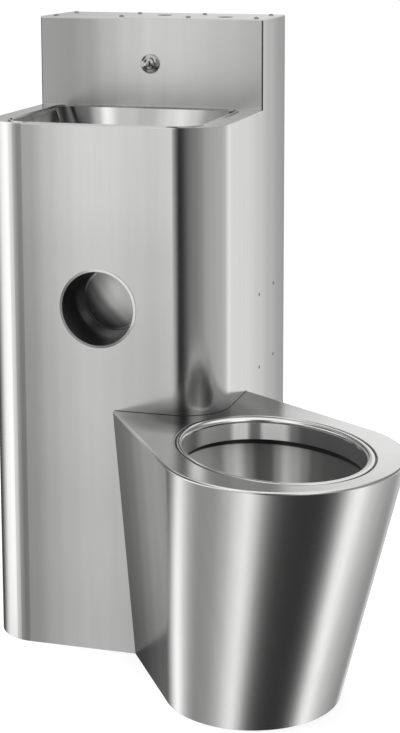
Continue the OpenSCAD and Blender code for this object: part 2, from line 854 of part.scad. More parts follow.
// Spring that closes the tap: a round wire wound between the piston and the end of the bore
module tap_spring() {
  y0 = piston_y + piston_h;
  wire_r = spring_wire_d / 2;
  coil_r = tap_bore_d / 2 - spring_inner_gap - wire_r;
  length = spring_end_y - y0 - spring_wire_d;
  rings = 12 * spring_turns;
  sides = 6;
  points = [
    for (i = [0 : rings], j = [0 : sides - 1])
      let (turn = 360 * spring_turns * i / rings, a = 360 * j / sides, rr = coil_r + wire_r * cos(a))
      [rr * cos(turn), rr * sin(turn), wire_r + length * i / rings + wire_r * sin(a)]
  ];
  sides_faces = [
    for (i = [0 : rings - 1], j = [0 : sides - 1])
      let (a = i * sides + j, b = i * sides + (j + 1) % sides, c = b + sides, d = a + sides)
      each [[a, b, c], [a, c, d]]
  ];
  ends = [
    [for (j = [sides - 1 : -1 : 0]) j],
    [for (j = [0 : sides - 1]) rings * sides + j]
  ];
  color(steel) translate([0, y0, tap_z]) rotate([-90, 0, 0])
    polyhedron(points = points, faces = concat(sides_faces, ends), convexity = 10);
}

// Body of the self-closing tap: a threaded shank through the upstand and a port for its supply
module tap_body() {
  color(brass) difference() {
    union() {
      rod_y(0, tap_z, panel_y, tap_shoulder_y + overrun, tap_shank_d / 2);
      rod_y(0, tap_z, tap_shoulder_y, tap_back_y, tap_body_d / 2);
      translate([0, -supply_y, tap_z]) cylinder(h = port_h, r = port_d / 2);
    }
    rod_y(0, tap_z, panel_y - overrun, tap_back_y - inlet_wall, tap_gland_d / 2 + running_gap);
    rod_y(0, tap_z, panel_y + tap_bore_start, tap_back_y - inlet_wall, tap_bore_d / 2);
    rod_y(0, tap_z - tap_way_r, panel_y - overrun, panel_y + tap_bore_start + overrun, tap_way_d / 2);
    translate([0, -supply_y, tap_z]) cylinder(h = port_h + overrun, r = port_way_d / 2);
    translate([0, -supply_y, port_top_z - port_socket_h])
      cylinder(h = port_socket_h + overrun, r = supply_d / 2 + running_gap);
  }
}

// Hexagon with a given width across its flats
module hexagon_prism(af, h) {
  cylinder(h = h, r = af / 2 / cos(30), $fn = 6);
}

module tap_washer() {
  y0 = panel_y + sheet_t;
  color(black) difference() {
    rod_y(0, tap_z, y0, y0 + tap_washer_t, tap_nut_af / 2);
    rod_y(0, tap_z, y0 - overrun, y0 + tap_washer_t + overrun, tap_shank_d / 2 + tap_hole_gap);
  }
}

module tap_nut() {
  y0 = panel_y + sheet_t + tap_washer_t;
  color(brass) difference() {
    translate([0, y0, tap_z]) rotate([-90, 0, 0]) hexagon_prism(tap_nut_af, tap_nut_h);
    rod_y(0, tap_z, y0 - overrun, y0 + tap_nut_h + overrun, tap_shank_d / 2 + running_gap);
  }
}

// Socket that takes a supply tube from above
module inlet(d, way_d) {
  r = d / 2 + running_gap;
  difference() {
    cylinder(h = inlet_h, r = r + inlet_wall);
    translate([0, 0, -overrun]) cylinder(h = inlet_h + 2 * overrun, r = way_d / 2);
    translate([0, 0, inlet_h - inlet_socket_h]) cylinder(h = inlet_socket_h + overrun, r = r);
  }
}

// Body of a quarter-turn stop valve, round the middle of its ball, with its stem towards +X
module stop_body(w, h, ball_d, way_d, pipe_d) {
  difference() {
    translate([-w / 2, -w / 2, -h / 2]) cube([w, w, h]);
    sphere(r = ball_d / 2 + stop_ball_gap);
    translate([0, 0, -h / 2 - overrun]) cylinder(h = h + 2 * overrun, r = way_d / 2);
    translate([0, 0, -h / 2 - overrun])
      cylinder(h = socket_h + overrun, r = pipe_d / 2 + running_gap);
    rotate([0, 90, 0]) cylinder(h = w / 2 + overrun, r = stem_d / 2 + running_gap);
  }
}

// Ball of a stop valve, with its way and the socket for the stem's peg
module stop_ball(ball_d, way_d) {
  difference() {
    sphere(r = ball_d / 2);
    translate([0, 0, -ball_d]) cylinder(h = 2 * ball_d, r = way_d / 2);
    translate([ball_d / 2 - stem_peg_h, 0, 0]) rotate([0, 90, 0])
      cylinder(h = stem_peg_h + overrun, r = stem_peg_d / 2 + running_gap);
    translate([ball_d / 2 - sheet_t / 2, 0, 0]) rotate([0, 90, 0])
      cylinder(h = ball_d, r = stem_d / 2 + running_gap);
  }
}

// Stem of a stop valve, with a slot for a screwdriver
module stop_spindle(w, ball_d) {
  x0 = ball_d / 2 - sheet_t / 2;
  end_x = w / 2 + stem_proud;
  difference() {
    union() {
      rod_x(0, 0, x0, end_x, stem_d / 2);
      rod_x(0, 0, ball_d / 2 - stem_peg_h, x0, stem_peg_d / 2);
    }
    translate([end_x - stem_slot_h, -stem_d, -stem_slot_w / 2])
      cube([stem_slot_h + overrun, 2 * stem_d, stem_slot_w]);
  }
}

module at_basin_stop() {
  translate([0, -supply_y, stop_z]) children();
}

module at_flush_stop() {
  translate([flush_x, -flush_y, flush_stop_z]) children();
}

module basin_inlet() {
  color(brass) translate([0, -supply_y, stop_top_z]) inlet(supply_d, stop_way_d);
}

module flush_inlet() {
  color(brass) translate([flush_x, -flush_y, stop_top_z]) inlet(flush_supply_d, flush_stop_way_d);
}

module basin_stop_body() {
  color(brass) at_basin_stop() stop_body(stop_w, stop_h, stop_ball_d, stop_way_d, supply_d);
}

module basin_stop_ball() {
  color(steel) at_basin_stop() stop_ball(stop_ball_d, stop_way_d);
}

module basin_stop_spindle() {
  color(brass) at_basin_stop() stop_spindle(stop_w, stop_ball_d);
}

module flush_stop_body() {
  color(brass) at_flush_stop()
    stop_body(flush_stop_w, flush_stop_h, flush_stop_ball_d, flush_stop_way_d, flush_d);
}

module flush_stop_ball() {
  color(steel) at_flush_stop() stop_ball(flush_stop_ball_d, flush_stop_way_d);
}

module flush_stop_spindle() {
  color(brass) at_flush_stop() stop_spindle(flush_stop_w, flush_stop_ball_d);
}

// Short tube between the basin's stop valve and the tap's port
module basin_supply_pipe() {
  low_z = port_top_z - port_socket_h;
  high_z = stop_z - stop_h / 2 + socket_h;
  color(brass) translate([0, -supply_y, low_z]) tube(high_z - low_z, supply_d / 2, tube_t);
}

// Bent tube that takes the flush down the inside of the column and forward
module flush_pipe() {
  r = flush_d / 2;
  color(brass) translate([flush_x, -flush_y, flush_top_z]) rotate([0, 0, -90])
    straight_run(flush_top_z - flush_z - flush_drop_r, r, tube_t)
    bent_run(90, flush_drop_r, r, tube_t)
    straight_run(flush_y1 - flush_y0, r, tube_t);
}

// Fitting that turns the flush pipe on to the pan's axis
module flush_bend() {
  color(brass) translate([flush_x, flush_y0, flush_z]) rotate([-90, 0, 0])
    socket_bend(pan_turn, flush_turn_r, flush_d / 2, tube_t, flush_socket_l, 0);
}

// Straight end of the flush pipe, through the column's corner into the pan
module flush_tail() {
  color(brass) pan_frame() translate([flush_tail_u, 0, flush_z]) rotate([0, 90, 0])
    tube(flush_end_u - flush_tail_u, flush_d / 2, tube_t);
}

// Rubber ring where the flush pipe passes through the column's corner
module flush_grommet() {
  skin_u = -(sqrt(2) - 1) * corner_r;
  u0 = skin_u - sheet_t - grommet_in;
  u1 = skin_u + grommet_out;
  r = flush_d / 2;
  color(black) pan_frame() difference() {
    diagonal_rod(flush_z, u0, u1, r + grommet_w);
    diagonal_rod(flush_z, u0 - overrun, u1 + overrun, r + running_gap);
  }
}

// Plate behind the four side screws, with an arm to the flush pipe
module pipe_bracket() {
  w = side_screw_pitch_y + 2 * bracket_margin;
  h = side_screw_pitch_z + 2 * bracket_margin;
  plate_x = half_w - sheet_t - bracket_t;
  arm_x = flush_x + flush_d / 2 + clamp_gap + clamp_t;
  color(steel) difference() {
    union() {
      translate([plate_x, -side_screw_y - w / 2, side_screw_z - h / 2]) cube([bracket_t, w, h]);
      translate([arm_x, -flush_y - clamp_h / 2, side_screw_z - bracket_t / 2])
        cube([plate_x - arm_x + overrun, clamp_h, bracket_t]);
      translate([arm_x, -flush_y - clamp_h / 2, side_screw_z - clamp_h / 2])
        cube([bracket_t, clamp_h, clamp_h]);
    }
    for (p = side_screw_places())
      rod_x(p[0], p[1], plate_x - overrun, half_w, side_screw_d / 2 + running_gap);
  }
}

// Clamp round the flush pipe, seated on the bracket's arm
module pipe_clamp() {
  r = flush_d / 2 + clamp_gap;
  arm_x = flush_x + r + clamp_t;
  color(steel) translate([0, -flush_y, side_screw_z - clamp_h / 2]) difference() {
    union() {
      translate([flush_x, 0, 0]) cylinder(h = clamp_h, r = r + clamp_t);
      translate([flush_x, -clamp_h / 2, 0]) cube([arm_x - flush_x, clamp_h, clamp_h]);
    }
    translate([flush_x, 0, -overrun]) cylinder(h = clamp_h + 2 * overrun, r = r);
  }
}

module side_screws() {
  color(steel) for (p = side_screw_places()) translate([half_w, p[0], p[1]]) rotate([0, 90, 0])
    round_screw(side_screw_head_d, side_screw_head_h, side_screw_d, side_screw_l, side_screw_socket_d);
}

module at_waste(z) {
  translate([0, -waste_y, z]) children();
}

// Perforated disc in the top of the waste
module waste_grid() {
  r = grid_d / 2;
  color(steel) at_waste(waste_z + waste_flange_t - grid_t) difference() {
    cylinder(h = grid_t, r = r);
    for (i = [0 : grid_ring_n - 1]) rotate([0, 0, 360 * i / grid_ring_n])
      translate([grid_ring_share * waste_body_d / 2, 0, -overrun])
        cylinder(h = grid_t + 2 * overrun, d = grid_hole_d);
    for (i = [0 : grid_inner_n - 1]) rotate([0, 0, 360 * i / grid_inner_n])
      translate([grid_inner_share * waste_body_d / 2, 0, -overrun])
        cylinder(h = grid_t + 2 * overrun, d = grid_hole_d);
  }
}

// Flanged tube that clamps the bowl's floor
module waste_body() {
  r = waste_body_d / 2;
  color(brass) at_waste(waste_z) difference() {
    union() {
      cylinder(h = waste_flange_t, r = waste_flange_d / 2);
      translate([0, 0, -waste_body_l]) cylinder(h = waste_body_l, r = r);
    }
    translate([0, 0, waste_flange_t - grid_t]) cylinder(h = grid_t + overrun, r = grid_d / 2 + running_gap);
    translate([0, 0, -waste_body_l - overrun])
      cylinder(h = waste_body_l + waste_flange_t + overrun, r = r - waste_body_wall);
  }
}

module waste_seal() {
  color(black) at_waste(waste_z - sheet_t - waste_seal_t)
    tube(waste_seal_t, waste_flange_d / 2, (waste_flange_d - waste_body_d) / 2 - running_gap);
}

module waste_nut() {
  z = waste_z - sheet_t - waste_seal_t - waste_nut_h;
  color(brass) at_waste(z) difference() {
    hexagon_prism(waste_nut_af, waste_nut_h);
    translate([0, 0, -overrun])
      cylinder(h = waste_nut_h + 2 * overrun, r = waste_body_d / 2 + running_gap);
  }
}

// Head of the bottle trap: a socket for the waste, a tube that dips into the cup, and an arm to the wall
module trap_head() {
  r = trap_d / 2;
  socket_r = waste_body_d / 2 + running_gap;
  dip_r = waste_body_d / 2 - waste_body_wall;
  pipe_r = waste_d / 2 - spigot_step + running_gap;
  color(black) at_waste(trap_joint_z) difference() {
    union() {
      difference() {
        cylinder(h = trap_head_h, r = r);
        translate([0, 0, -overrun])
          cylinder(h = trap_head_h - trap_overlap - trap_wall + overrun, r = r - trap_wall);
      }
      translate([0, 0, -trap_dip]) cylinder(h = trap_head_h + trap_dip, r = dip_r + trap_wall);
      rod_y(0, trap_head_h / 2, r - trap_wall, r + trap_arm_l, pipe_r + trap_wall);
    }
    translate([0, 0, -trap_dip - overrun]) cylinder(h = trap_head_h + trap_dip + 2 * overrun, r = dip_r);
    translate([0, 0, trap_head_h - trap_overlap]) cylinder(h = trap_overlap + overrun, r = socket_r);
    rod_y(0, trap_head_h / 2, r - trap_wall - overrun, r + trap_arm_l + overrun, pipe_r);
  }
}

// Cup screwed under the head of the bottle trap
module trap_cup() {
  r = trap_d / 2;
  color(black) at_waste(trap_joint_z - trap_cup_h) difference() {
    union() {
      cylinder(h = trap_cup_h, r = r);
      translate([0, 0, trap_cup_h - trap_cup_lip_h]) cylinder(h = trap_cup_lip_h, r = r + trap_cup_lip);
    }
    translate([0, 0, trap_wall]) cylinder(h = trap_cup_h, r = r - trap_wall);
  }
}

module basin_waste_pipe() {
  y0 = -waste_y + trap_d / 2 + trap_arm_l - waste_pipe_in;
  color(black) translate([0, y0, waste_pipe_z]) rotate([-90, 0, 0])
    spigot_tube(-y0, waste_d / 2, pipe_wall, waste_pipe_in + spigot_land);
}

// Tapered outer wall of the pan, cut to lie against the column
module pan_skirt() {
  top_z = pan_h - sheet_t;
  in_back_u = pan_back_u + sheet_t;
  color(steel) difference() {
    pan_frame() loft_ring([
      dee(pan_base_u, pan_base_r, 0, pan_back_u),
      dee(pan_base_u, pan_base_r - sheet_t, 0, in_back_u),
      dee(pan_u(top_z), pan_r(top_z) - sheet_t, top_z, in_back_u),
      dee(pan_u(top_z), pan_r(top_z), top_z, pan_back_u)
    ]);
    column_block();
  }
}

// Flat top of the pan, cut to the column's round corner, with the hole for the seat ring
module pan_top() {
  color(steel) translate([0, 0, pan_h - sheet_t]) linear_extrude(sheet_t) difference() {
    pan_frame() difference() {
      polygon(flat(dee(pan_top_u, pan_top_r, 0, pan_back_u)));
      polygon(flat(oval(seat_u, seat_a, seat_b, 0)));
    }
    column_outline(0);
  }
}

// Ring that the seat rests on: flat at its edge, then falling to the mouth
module seat_ring() {
  a = seat_a - seat_groove;
  b = seat_b - seat_groove;
  color(steel) pan_frame() loft_ring([
    oval(seat_u, a, b, pan_h), oval(seat_u, a, b, pan_h - sheet_t),
    oval(seat_u, a - seat_flat_w, b - seat_flat_w, pan_h - sheet_t),
    oval(mouth_u, mouth_a, mouth_b, collar_top_z),
    oval(mouth_u, mouth_a, mouth_b, collar_top_z + sheet_t),
    oval(seat_u, a - seat_flat_w, b - seat_flat_w, pan_h)
  ]);
}

// Upright collar in the mouth, in front of the flush water's channel
module pan_collar() {
  color(steel) pan_frame() loft_ring([
    oval(mouth_u, mouth_a + sheet_t, mouth_b + sheet_t, collar_top_z),
    oval(mouth_u, mouth_a + sheet_t, mouth_b + sheet_t, collar_low_z),
    oval(mouth_u, mouth_a, mouth_b, collar_low_z),
    oval(mouth_u, mouth_a, mouth_b, collar_top_z)
  ]);
}

// Bowl of the pan, hung from a flange under the rim, with the hole for the flush pipe
module pan_bowl() {
  a = seat_a + bowl_flange_w;
  b = seat_b + bowl_flange_w;
  in_a = seat_a - seat_groove - bowl_flange_w;
  in_b = seat_b - seat_groove - bowl_flange_w;
  color(steel) pan_frame() difference() {
    loft_ring(concat(
      [oval(seat_u, a, b, bowl_top_z), oval(seat_u, a, b, bowl_top_z - sheet_t)],
      bowl_skin(sheet_t), reversed(bowl_skin(0)),
      [oval(seat_u, in_a, in_b, bowl_top_z - sheet_t), oval(seat_u, in_a, in_b, bowl_top_z)]
    ));
    diagonal_rod(flush_z, pan_back_u, seat_u / 2, flush_d / 2 + screw_gap);
  }
}

// Trap of the pan: down, round, up, over towards the column and into it
module pan_trap() {
  color(steel) pan_frame() translate([sump_u, 0, trap_start_z]) rotate([0, 0, 180])
    bent_run(180, trap_bend_r, outlet_r, outlet_wall)
    rotate([0, 0, 180]) bent_run(90, trap_bend_r, outlet_r, outlet_wall)
    straight_run(seal_grip, outlet_r, outlet_wall);
}

// Rubber sleeve that joins the trap to the outlet
module outlet_seal() {
  u0 = trap_end_u - seal_grip;
  u1 = trap_end_u + seal_grip;
  color(black) pan_frame() difference() {
    diagonal_rod(outlet_z, u0, u1, outlet_r + seal_t);
    diagonal_rod(outlet_z, u0 - overrun, u1 + overrun, outlet_r + running_gap);
  }
}

// Short pipe on the pan's axis, between the sleeve and the bend
module outlet_neck() {
  color(black) pan_frame() translate([outlet_neck_u, 0, outlet_z]) rotate([0, 90, 0])
    tube(trap_end_u - outlet_neck_u, outlet_r, outlet_pipe_t);
}

// Fitting that turns the outlet straight to the wall
module outlet_bend() {
  color(black) pan_frame() translate([outlet_neck_u, 0, outlet_z]) rotate([0, 90, 0]) rotate([0, 0, 90])
    socket_bend(pan_turn, outlet_turn_r, outlet_r, outlet_pipe_t, outlet_socket_l, spigot_step);
}

// Straight pipe from the bend to the wall
module pan_outlet() {
  color(black) translate([half_w + outlet_turn_u / sqrt(2), outlet_y0, outlet_z]) rotate([-90, 0, 0])
    spigot_tube(-outlet_y0, outlet_r, outlet_pipe_t, outlet_socket_l + spigot_land);
}

// Two tabs welded inside the foot of the pan, with holes for floor bolts
module pan_tabs() {
  color(steel) pan_frame() for (side = [-1, 1]) difference() {
    linear_extrude(tab_t) intersection() {
      polygon(flat(dee(pan_base_u, pan_base_r - sheet_t - tab_gap, 0, pan_back_u)));
      translate([pan_base_u - tab_w / 2, side > 0 ? pan_base_r - sheet_t - tab_deep : -pan_base_r])
        square([tab_w, tab_deep + sheet_t]);
    }
    translate([pan_base_u, side * pan_pitch / 2, -overrun])
      cylinder(h = tab_t + 2 * overrun, r = bolt_hole_d / 2);
  }
}

column_shell();
upstand_panel();
basin_deck();
basin_bowl();
cap_plate();
cap_frame();
cap_gasket();
cap_screws();
recess_cup();
recess_end();
back_post(-1);  // back_post_left
back_post(1);  // back_post_right
cross_rail(rail_upper_z);  // rail_upper
cross_rail(rail_lower_z);  // rail_lower
base_rail();
tap_collar();
tap_button();
tap_spindle();
tap_spring();
tap_body();
tap_nut();
tap_washer();
spout_nozzle();
basin_inlet();
basin_stop_body();
basin_stop_ball();
basin_stop_spindle();
basin_supply_pipe();
flush_inlet();
flush_stop_body();
flush_stop_ball();
flush_stop_spindle();
flush_pipe();
flush_bend();
flush_tail();
flush_grommet();
pipe_bracket();
pipe_clamp();
side_screws();
waste_grid();
waste_body();
waste_seal();
waste_nut();
trap_head();
trap_cup();
basin_waste_pipe();
pan_skirt();
pan_top();
seat_ring();
pan_collar();
pan_bowl();
pan_trap();
outlet_seal();
outlet_neck();
outlet_bend();
pan_outlet();
pan_tabs();
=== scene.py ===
"""Looks of the steel toilet and basin unit: camera, studio, finishes and finely shaped sheet metal.

Shapes are worked out in millimetres, which MM turns into metres. Places in finishes are in metres.
"""

import json
import math

import bpy
from mathutils import Matrix, Vector


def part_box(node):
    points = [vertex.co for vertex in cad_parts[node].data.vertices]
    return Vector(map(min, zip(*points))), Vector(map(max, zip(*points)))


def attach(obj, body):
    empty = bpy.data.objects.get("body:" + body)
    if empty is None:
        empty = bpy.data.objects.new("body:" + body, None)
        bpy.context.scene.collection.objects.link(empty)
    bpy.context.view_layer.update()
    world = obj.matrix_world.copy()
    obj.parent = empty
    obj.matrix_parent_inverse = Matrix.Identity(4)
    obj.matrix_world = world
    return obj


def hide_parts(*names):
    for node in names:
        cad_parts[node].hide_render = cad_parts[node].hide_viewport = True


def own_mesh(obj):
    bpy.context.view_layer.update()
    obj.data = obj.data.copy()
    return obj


MM = 0.001

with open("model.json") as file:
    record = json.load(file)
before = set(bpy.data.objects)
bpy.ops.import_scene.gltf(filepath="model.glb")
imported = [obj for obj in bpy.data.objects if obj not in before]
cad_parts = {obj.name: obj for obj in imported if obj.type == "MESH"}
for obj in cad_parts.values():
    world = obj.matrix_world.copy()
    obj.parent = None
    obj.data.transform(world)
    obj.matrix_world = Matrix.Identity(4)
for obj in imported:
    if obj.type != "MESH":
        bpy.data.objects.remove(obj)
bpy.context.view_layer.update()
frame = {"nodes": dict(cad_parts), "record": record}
nodes = frame["nodes"]


# Camera

IMAGE_H = 733
SENSOR = 36.0
CAMERA_YAW, CAMERA_PITCH, CAMERA_ROLL = (math.radians(a) for a in (15.95, 9.10, -0.05))
FOCAL_PX = 1730.5
CENTRE_X_PX, CENTRE_Y_PX = 22.8, -170.0
CAMERA_AT = Vector((913.1, -2903.1, 1161.9)) * MM
NEAREST, FARTHEST = 0.05, 60


def make_camera():
    cy, sy = math.cos(CAMERA_YAW), math.sin(CAMERA_YAW)
    cp, sp = math.cos(CAMERA_PITCH), math.sin(CAMERA_PITCH)
    ahead = Vector((-sy * cp, cy * cp, -sp))
    right = Vector((cy, sy, 0))
    up = right.cross(ahead)
    cr, sr = math.cos(CAMERA_ROLL), math.sin(CAMERA_ROLL)
    right, up = cr * right + sr * up, cr * up - sr * right
    data = bpy.data.cameras.new("camera")
    data.sensor_width = SENSOR
    data.lens = FOCAL_PX * SENSOR / IMAGE_H
    data.shift_x, data.shift_y = -CENTRE_X_PX / IMAGE_H, CENTRE_Y_PX / IMAGE_H
    data.clip_start, data.clip_end = NEAREST, FARTHEST
    obj = bpy.data.objects.new("camera", data)
    bpy.context.collection.objects.link(obj)
    turn = Matrix((right, up, -ahead)).transposed()
    obj.matrix_world = Matrix.Translation(CAMERA_AT) @ turn.to_4x4()
    bpy.context.scene.camera = obj


make_camera()
bpy.context.scene.view_settings.view_transform = "Standard"


# Node helpers


def graph(tree):
    tree.nodes.clear()

    def add(kind, **values):
        node = tree.nodes.new(kind)
        for key, value in values.items():
            if key in node.inputs:
                node.inputs[key].default_value = value
            else:
                setattr(node, key, value)
        return node

    return add, tree.links.new


def new_material(name):
    mat = bpy.data.materials.new(name)
    mat.use_nodes = True
    return mat, *graph(mat.node_tree)


def grey(level):
    return level, level, level, 1


def seen_rays(add, link):
    """1 for what the camera sees, straight, in metal or through glass."""
    path = add("ShaderNodeLightPath")
    first = add("ShaderNodeMath", operation="MAXIMUM")
    second = add("ShaderNodeMath", operation="MAXIMUM")
    link(path.outputs["Is Camera Ray"], first.inputs[0])
    link(path.outputs["Is Glossy Ray"], first.inputs[1])
    link(first.outputs[0], second.inputs[0])
    link(path.outputs["Is Transmission Ray"], second.inputs[1])
    return second.outputs[0]


def share_of(add, link, value, start, end, **values):
    """How far value has gone from start to end."""
    share = add("ShaderNodeMapRange", **{"From Min": start, "From Max": end}, **values)
    link(value, share.inputs["Value"])
    return share.outputs[0]


def grey_ramp(add, link, share, stops, top):
    """Greys over share, from stops of (place from 0 to 1, level). White is the level top."""
    ramp = add("ShaderNodeValToRGB")
    ramp.color_ramp.interpolation = "EASE"
    marks = ramp.color_ramp.elements
    while len(marks) > 1:
        marks.remove(marks[-1])
    for i, (at, level) in enumerate(stops):
        mark = marks[0] if i == 0 else marks.new(at)
        mark.position, mark.color = at, grey(level / top)
    link(share, ramp.inputs[0])
    return ramp.outputs["Color"]


# Studio

WORLD_LEVEL = 0.75
FLOOR_HALF, FLOOR_DROP = 14.0, 0.0006
FLOOR_GLOW, FLOOR_GREY, FLOOR_BOUNCE = 0.62, 0.5, 0.8


def make_world():
    world = bpy.data.worlds.new("studio")
    bpy.context.scene.world = world
    world.use_nodes = True
    add, link = graph(world.node_tree)
    fill = add("ShaderNodeBackground", Color=grey(1), Strength=WORLD_LEVEL)
    white = add("ShaderNodeBackground", Color=grey(1), Strength=1.0)
    mix = add("ShaderNodeMixShader")
    out = add("ShaderNodeOutputWorld")
    link(seen_rays(add, link), mix.inputs[0])
    link(fill.outputs[0], mix.inputs[1])
    link(white.outputs[0], mix.inputs[2])
    link(mix.outputs[0], out.inputs[0])


def mesh_object(name, verts, faces, smooth=True):
    mesh = bpy.data.meshes.new(name)
    mesh.from_pydata([tuple(v) for v in verts], [], faces)
    mesh.update()
    for p in mesh.polygons:
        p.use_smooth = smooth
    obj = bpy.data.objects.new(name, mesh)
    bpy.context.collection.objects.link(obj)
    return obj


def make_floor():
    h = FLOOR_HALF
    corners = [(-h, -h, 0), (h, -h, 0), (h, h, 0), (-h, h, 0)]
    obj = mesh_object("floor", corners, [(0, 1, 2, 3)], smooth=False)
    obj.location.z = -FLOOR_DROP
    obj.visible_glossy = False
    mat, add, link = new_material("floor")
    plain = add("ShaderNodeBsdfDiffuse", Color=grey(FLOOR_BOUNCE))
    matt = add("ShaderNodeBsdfDiffuse", Color=grey(FLOOR_GREY))
    glow = add("ShaderNodeEmission", Color=grey(1), Strength=FLOOR_GLOW)
    shown = add("ShaderNodeAddShader")
    mix = add("ShaderNodeMixShader")
    out = add("ShaderNodeOutputMaterial")
    link(matt.outputs[0], shown.inputs[0])
    link(glow.outputs[0], shown.inputs[1])
    link(seen_rays(add, link), mix.inputs[0])
    link(plain.outputs[0], mix.inputs[1])
    link(shown.outputs[0], mix.inputs[2])
    link(mix.outputs[0], out.inputs[0])
    obj.data.materials.append(mat)


LAMP_AIM = Vector((0.15, -0.3, 0.5))
# Azimuth in degrees, where 0 is towards -Y and 90 towards +X; height; distance; size; power
LAMPS = {
    "left_box": (-82, 1.5, 3.2, (1.2, 2.8), 60),
    "right_box": (88, 1.4, 3.2, (0.9, 2.8), 45),
    "top_box": (20, 3.6, 0.6, (2.4, 2.4), 60),
}


def soft_box(name, azimuth, height, distance, size, power):
    a = math.radians(azimuth)
    data = bpy.data.lights.new(name, "AREA")
    data.shape = "RECTANGLE"
    data.size, data.size_y = size
    data.energy = power
    obj = bpy.data.objects.new(name, data)
    bpy.context.collection.objects.link(obj)
    x, y = LAMP_AIM.x + distance * math.sin(a), LAMP_AIM.y - distance * math.cos(a)
    obj.location = Vector((x, y, height))
    obj.rotation_mode = "QUATERNION"
    obj.rotation_quaternion = (LAMP_AIM - obj.location).to_track_quat("-Z", "Y")
    obj.visible_glossy = False


# What the metal sees all round, as (azimuth in degrees, level), in three bands: what upright
# faces see just below the horizon, what the pan's leaning wall sees further down, and what level
# faces and bowls see above. 1 is paper white.
SEEN_LEVEL = [
    (-180, 0.6), (-170, 0.85), (-163, 0.80), (-157, 0.55), (-150, 0.08), (-124, 0.06), (-112, 0.3),
    (-102, 0.7), (-90, 1.25), (-68, 1.5), (-56, 1.2), (-46, 0.78), (-36, 0.42), (-27, 0.48),
    (-21, 0.85), (-17, 1.05), (-13, 1.05), (-9, 0.35), (-5, 0.0), (4, 0.02), (12, 0.08),
    (20, 0.17), (34, 0.25), (56, 0.33), (64, 0.46), (82, 0.52), (112, 0.55), (130, 0.62),
    (146, 0.9), (155, 1.05), (163, 0.88), (172, 0.6)]
SEEN_LOW = [
    (-180, 0.75), (-150, 0.14), (-130, 0.14), (-121, 0.45), (-113, 1.0), (-106, 1.5), (-100, 1.3),
    (-94, 0.8), (-86, 0.48), (-76, 0.32), (-58, 0.38), (-44, 0.58), (-32, 0.95), (-22, 1.25),
    (-12, 0.80), (-3, 0.32), (8, 0.12), (22, 0.06), (45, 0.045), (64, 0.05), (78, 0.14), (88, 0.5),
    (97, 1.2), (106, 1.35), (114, 1.0), (124, 0.72), (138, 0.52), (152, 0.38), (166, 0.32),
    (174, 0.8)]
SEEN_HIGH = [
    (-180, 1.0), (-170, 1.05), (-165, 0.62), (-158, 0.45), (-140, 0.3), (-120, 0.10), (-90, 0.07),
    (-70, 0.12), (-56, 0.4), (-46, 1.2), (-34, 1.4), (-26, 1.0), (-17, 0.85), (-8, 0.4), (4, 0.08),
    (16, 0.14), (25, 0.8), (34, 1.5), (50, 1.4), (62, 0.6), (74, 0.3), (100, 0.3), (128, 0.32),
    (146, 0.22), (158, 0.14), (166, 0.4), (173, 0.6)]
SCREEN_R, SCREEN_TOP, ZENITH = 40.0, 1.5, 1.2
SCREEN_TURNS, SCREEN_ROWS = 64, 32
# Elevations in degrees where one band gives way to the next
LOW_FROM, LOW_TO, HIGH_FROM, HIGH_TO, POLE_FROM, POLE_TO = -22, -28, 8, 18, 40, 58


def by_height(add, link, rise, start, end, low, high):
    """Goes from low to high, or to the zenith, as the elevation goes from start to end."""
    start, end = math.sin(math.radians(start)), math.sin(math.radians(end))
    share = share_of(add, link, rise, start, end, interpolation_type="SMOOTHSTEP")
    mix = add("ShaderNodeMix", data_type="RGBA")
    link(share, mix.inputs["Factor"])
    link(low, mix.inputs["A"])
    if high is None:
        mix.inputs["B"].default_value = grey(ZENITH / SCREEN_TOP)
    else:
        link(high, mix.inputs["B"])
    return mix.outputs["Result"]


def make_screen():
    """White and dark cards far round the object, on a sphere that only metal sees."""
    n, r = SCREEN_TURNS, SCREEN_R
    verts, faces = [], []
    for j in range(SCREEN_ROWS + 1):
        e = math.pi * (j / SCREEN_ROWS - 0.5)
        out = r * math.cos(e)
        for i in range(n):
            a = 2 * math.pi * i / n
            verts.append((out * math.cos(a), out * math.sin(a), r * math.sin(e)))
    for j in range(SCREEN_ROWS):
        for i in range(n):
            k = (i + 1) % n
            faces.append((j * n + i, j * n + k, (j + 1) * n + k, (j + 1) * n + i))
    obj = mesh_object("studio_screen", verts, faces)
    mat, add, link = new_material("studio_screen")
    place = add("ShaderNodeTexCoord")
    unit = add("ShaderNodeVectorMath", operation="NORMALIZE")
    split = add("ShaderNodeSeparateXYZ")
    down = add("ShaderNodeMath", operation="MULTIPLY")
    down.inputs[1].default_value = -1
    turn = add("ShaderNodeMath", operation="ARCTAN2")
    link(place.outputs["Object"], unit.inputs[0])
    link(unit.outputs[0], split.inputs[0])
    link(split.outputs["Y"], down.inputs[0])
    link(split.outputs["X"], turn.inputs[0])
    link(down.outputs[0], turn.inputs[1])
    round_share = share_of(add, link, turn.outputs[0], -math.pi, math.pi)
    bands = []
    for stops in (SEEN_LEVEL, SEEN_LOW, SEEN_HIGH):
        marks = [((azimuth + 180) / 360, seen) for azimuth, seen in stops]
        bands.append(grey_ramp(add, link, round_share, marks, SCREEN_TOP))
    level, low, high = bands
    rise = split.outputs["Z"]
    seen = by_height(add, link, rise, LOW_TO, LOW_FROM, low, level)
    seen = by_height(add, link, rise, HIGH_FROM, HIGH_TO, seen, high)
    seen = by_height(add, link, rise, POLE_FROM, POLE_TO, seen, None)
    glow = add("ShaderNodeEmission", Strength=SCREEN_TOP)
    out = add("ShaderNodeOutputMaterial")
    link(seen, glow.inputs["Color"])
    link(glow.outputs[0], out.inputs[0])
    obj.data.materials.append(mat)
    obj.visible_camera = obj.visible_diffuse = obj.visible_shadow = obj.visible_transmission = False


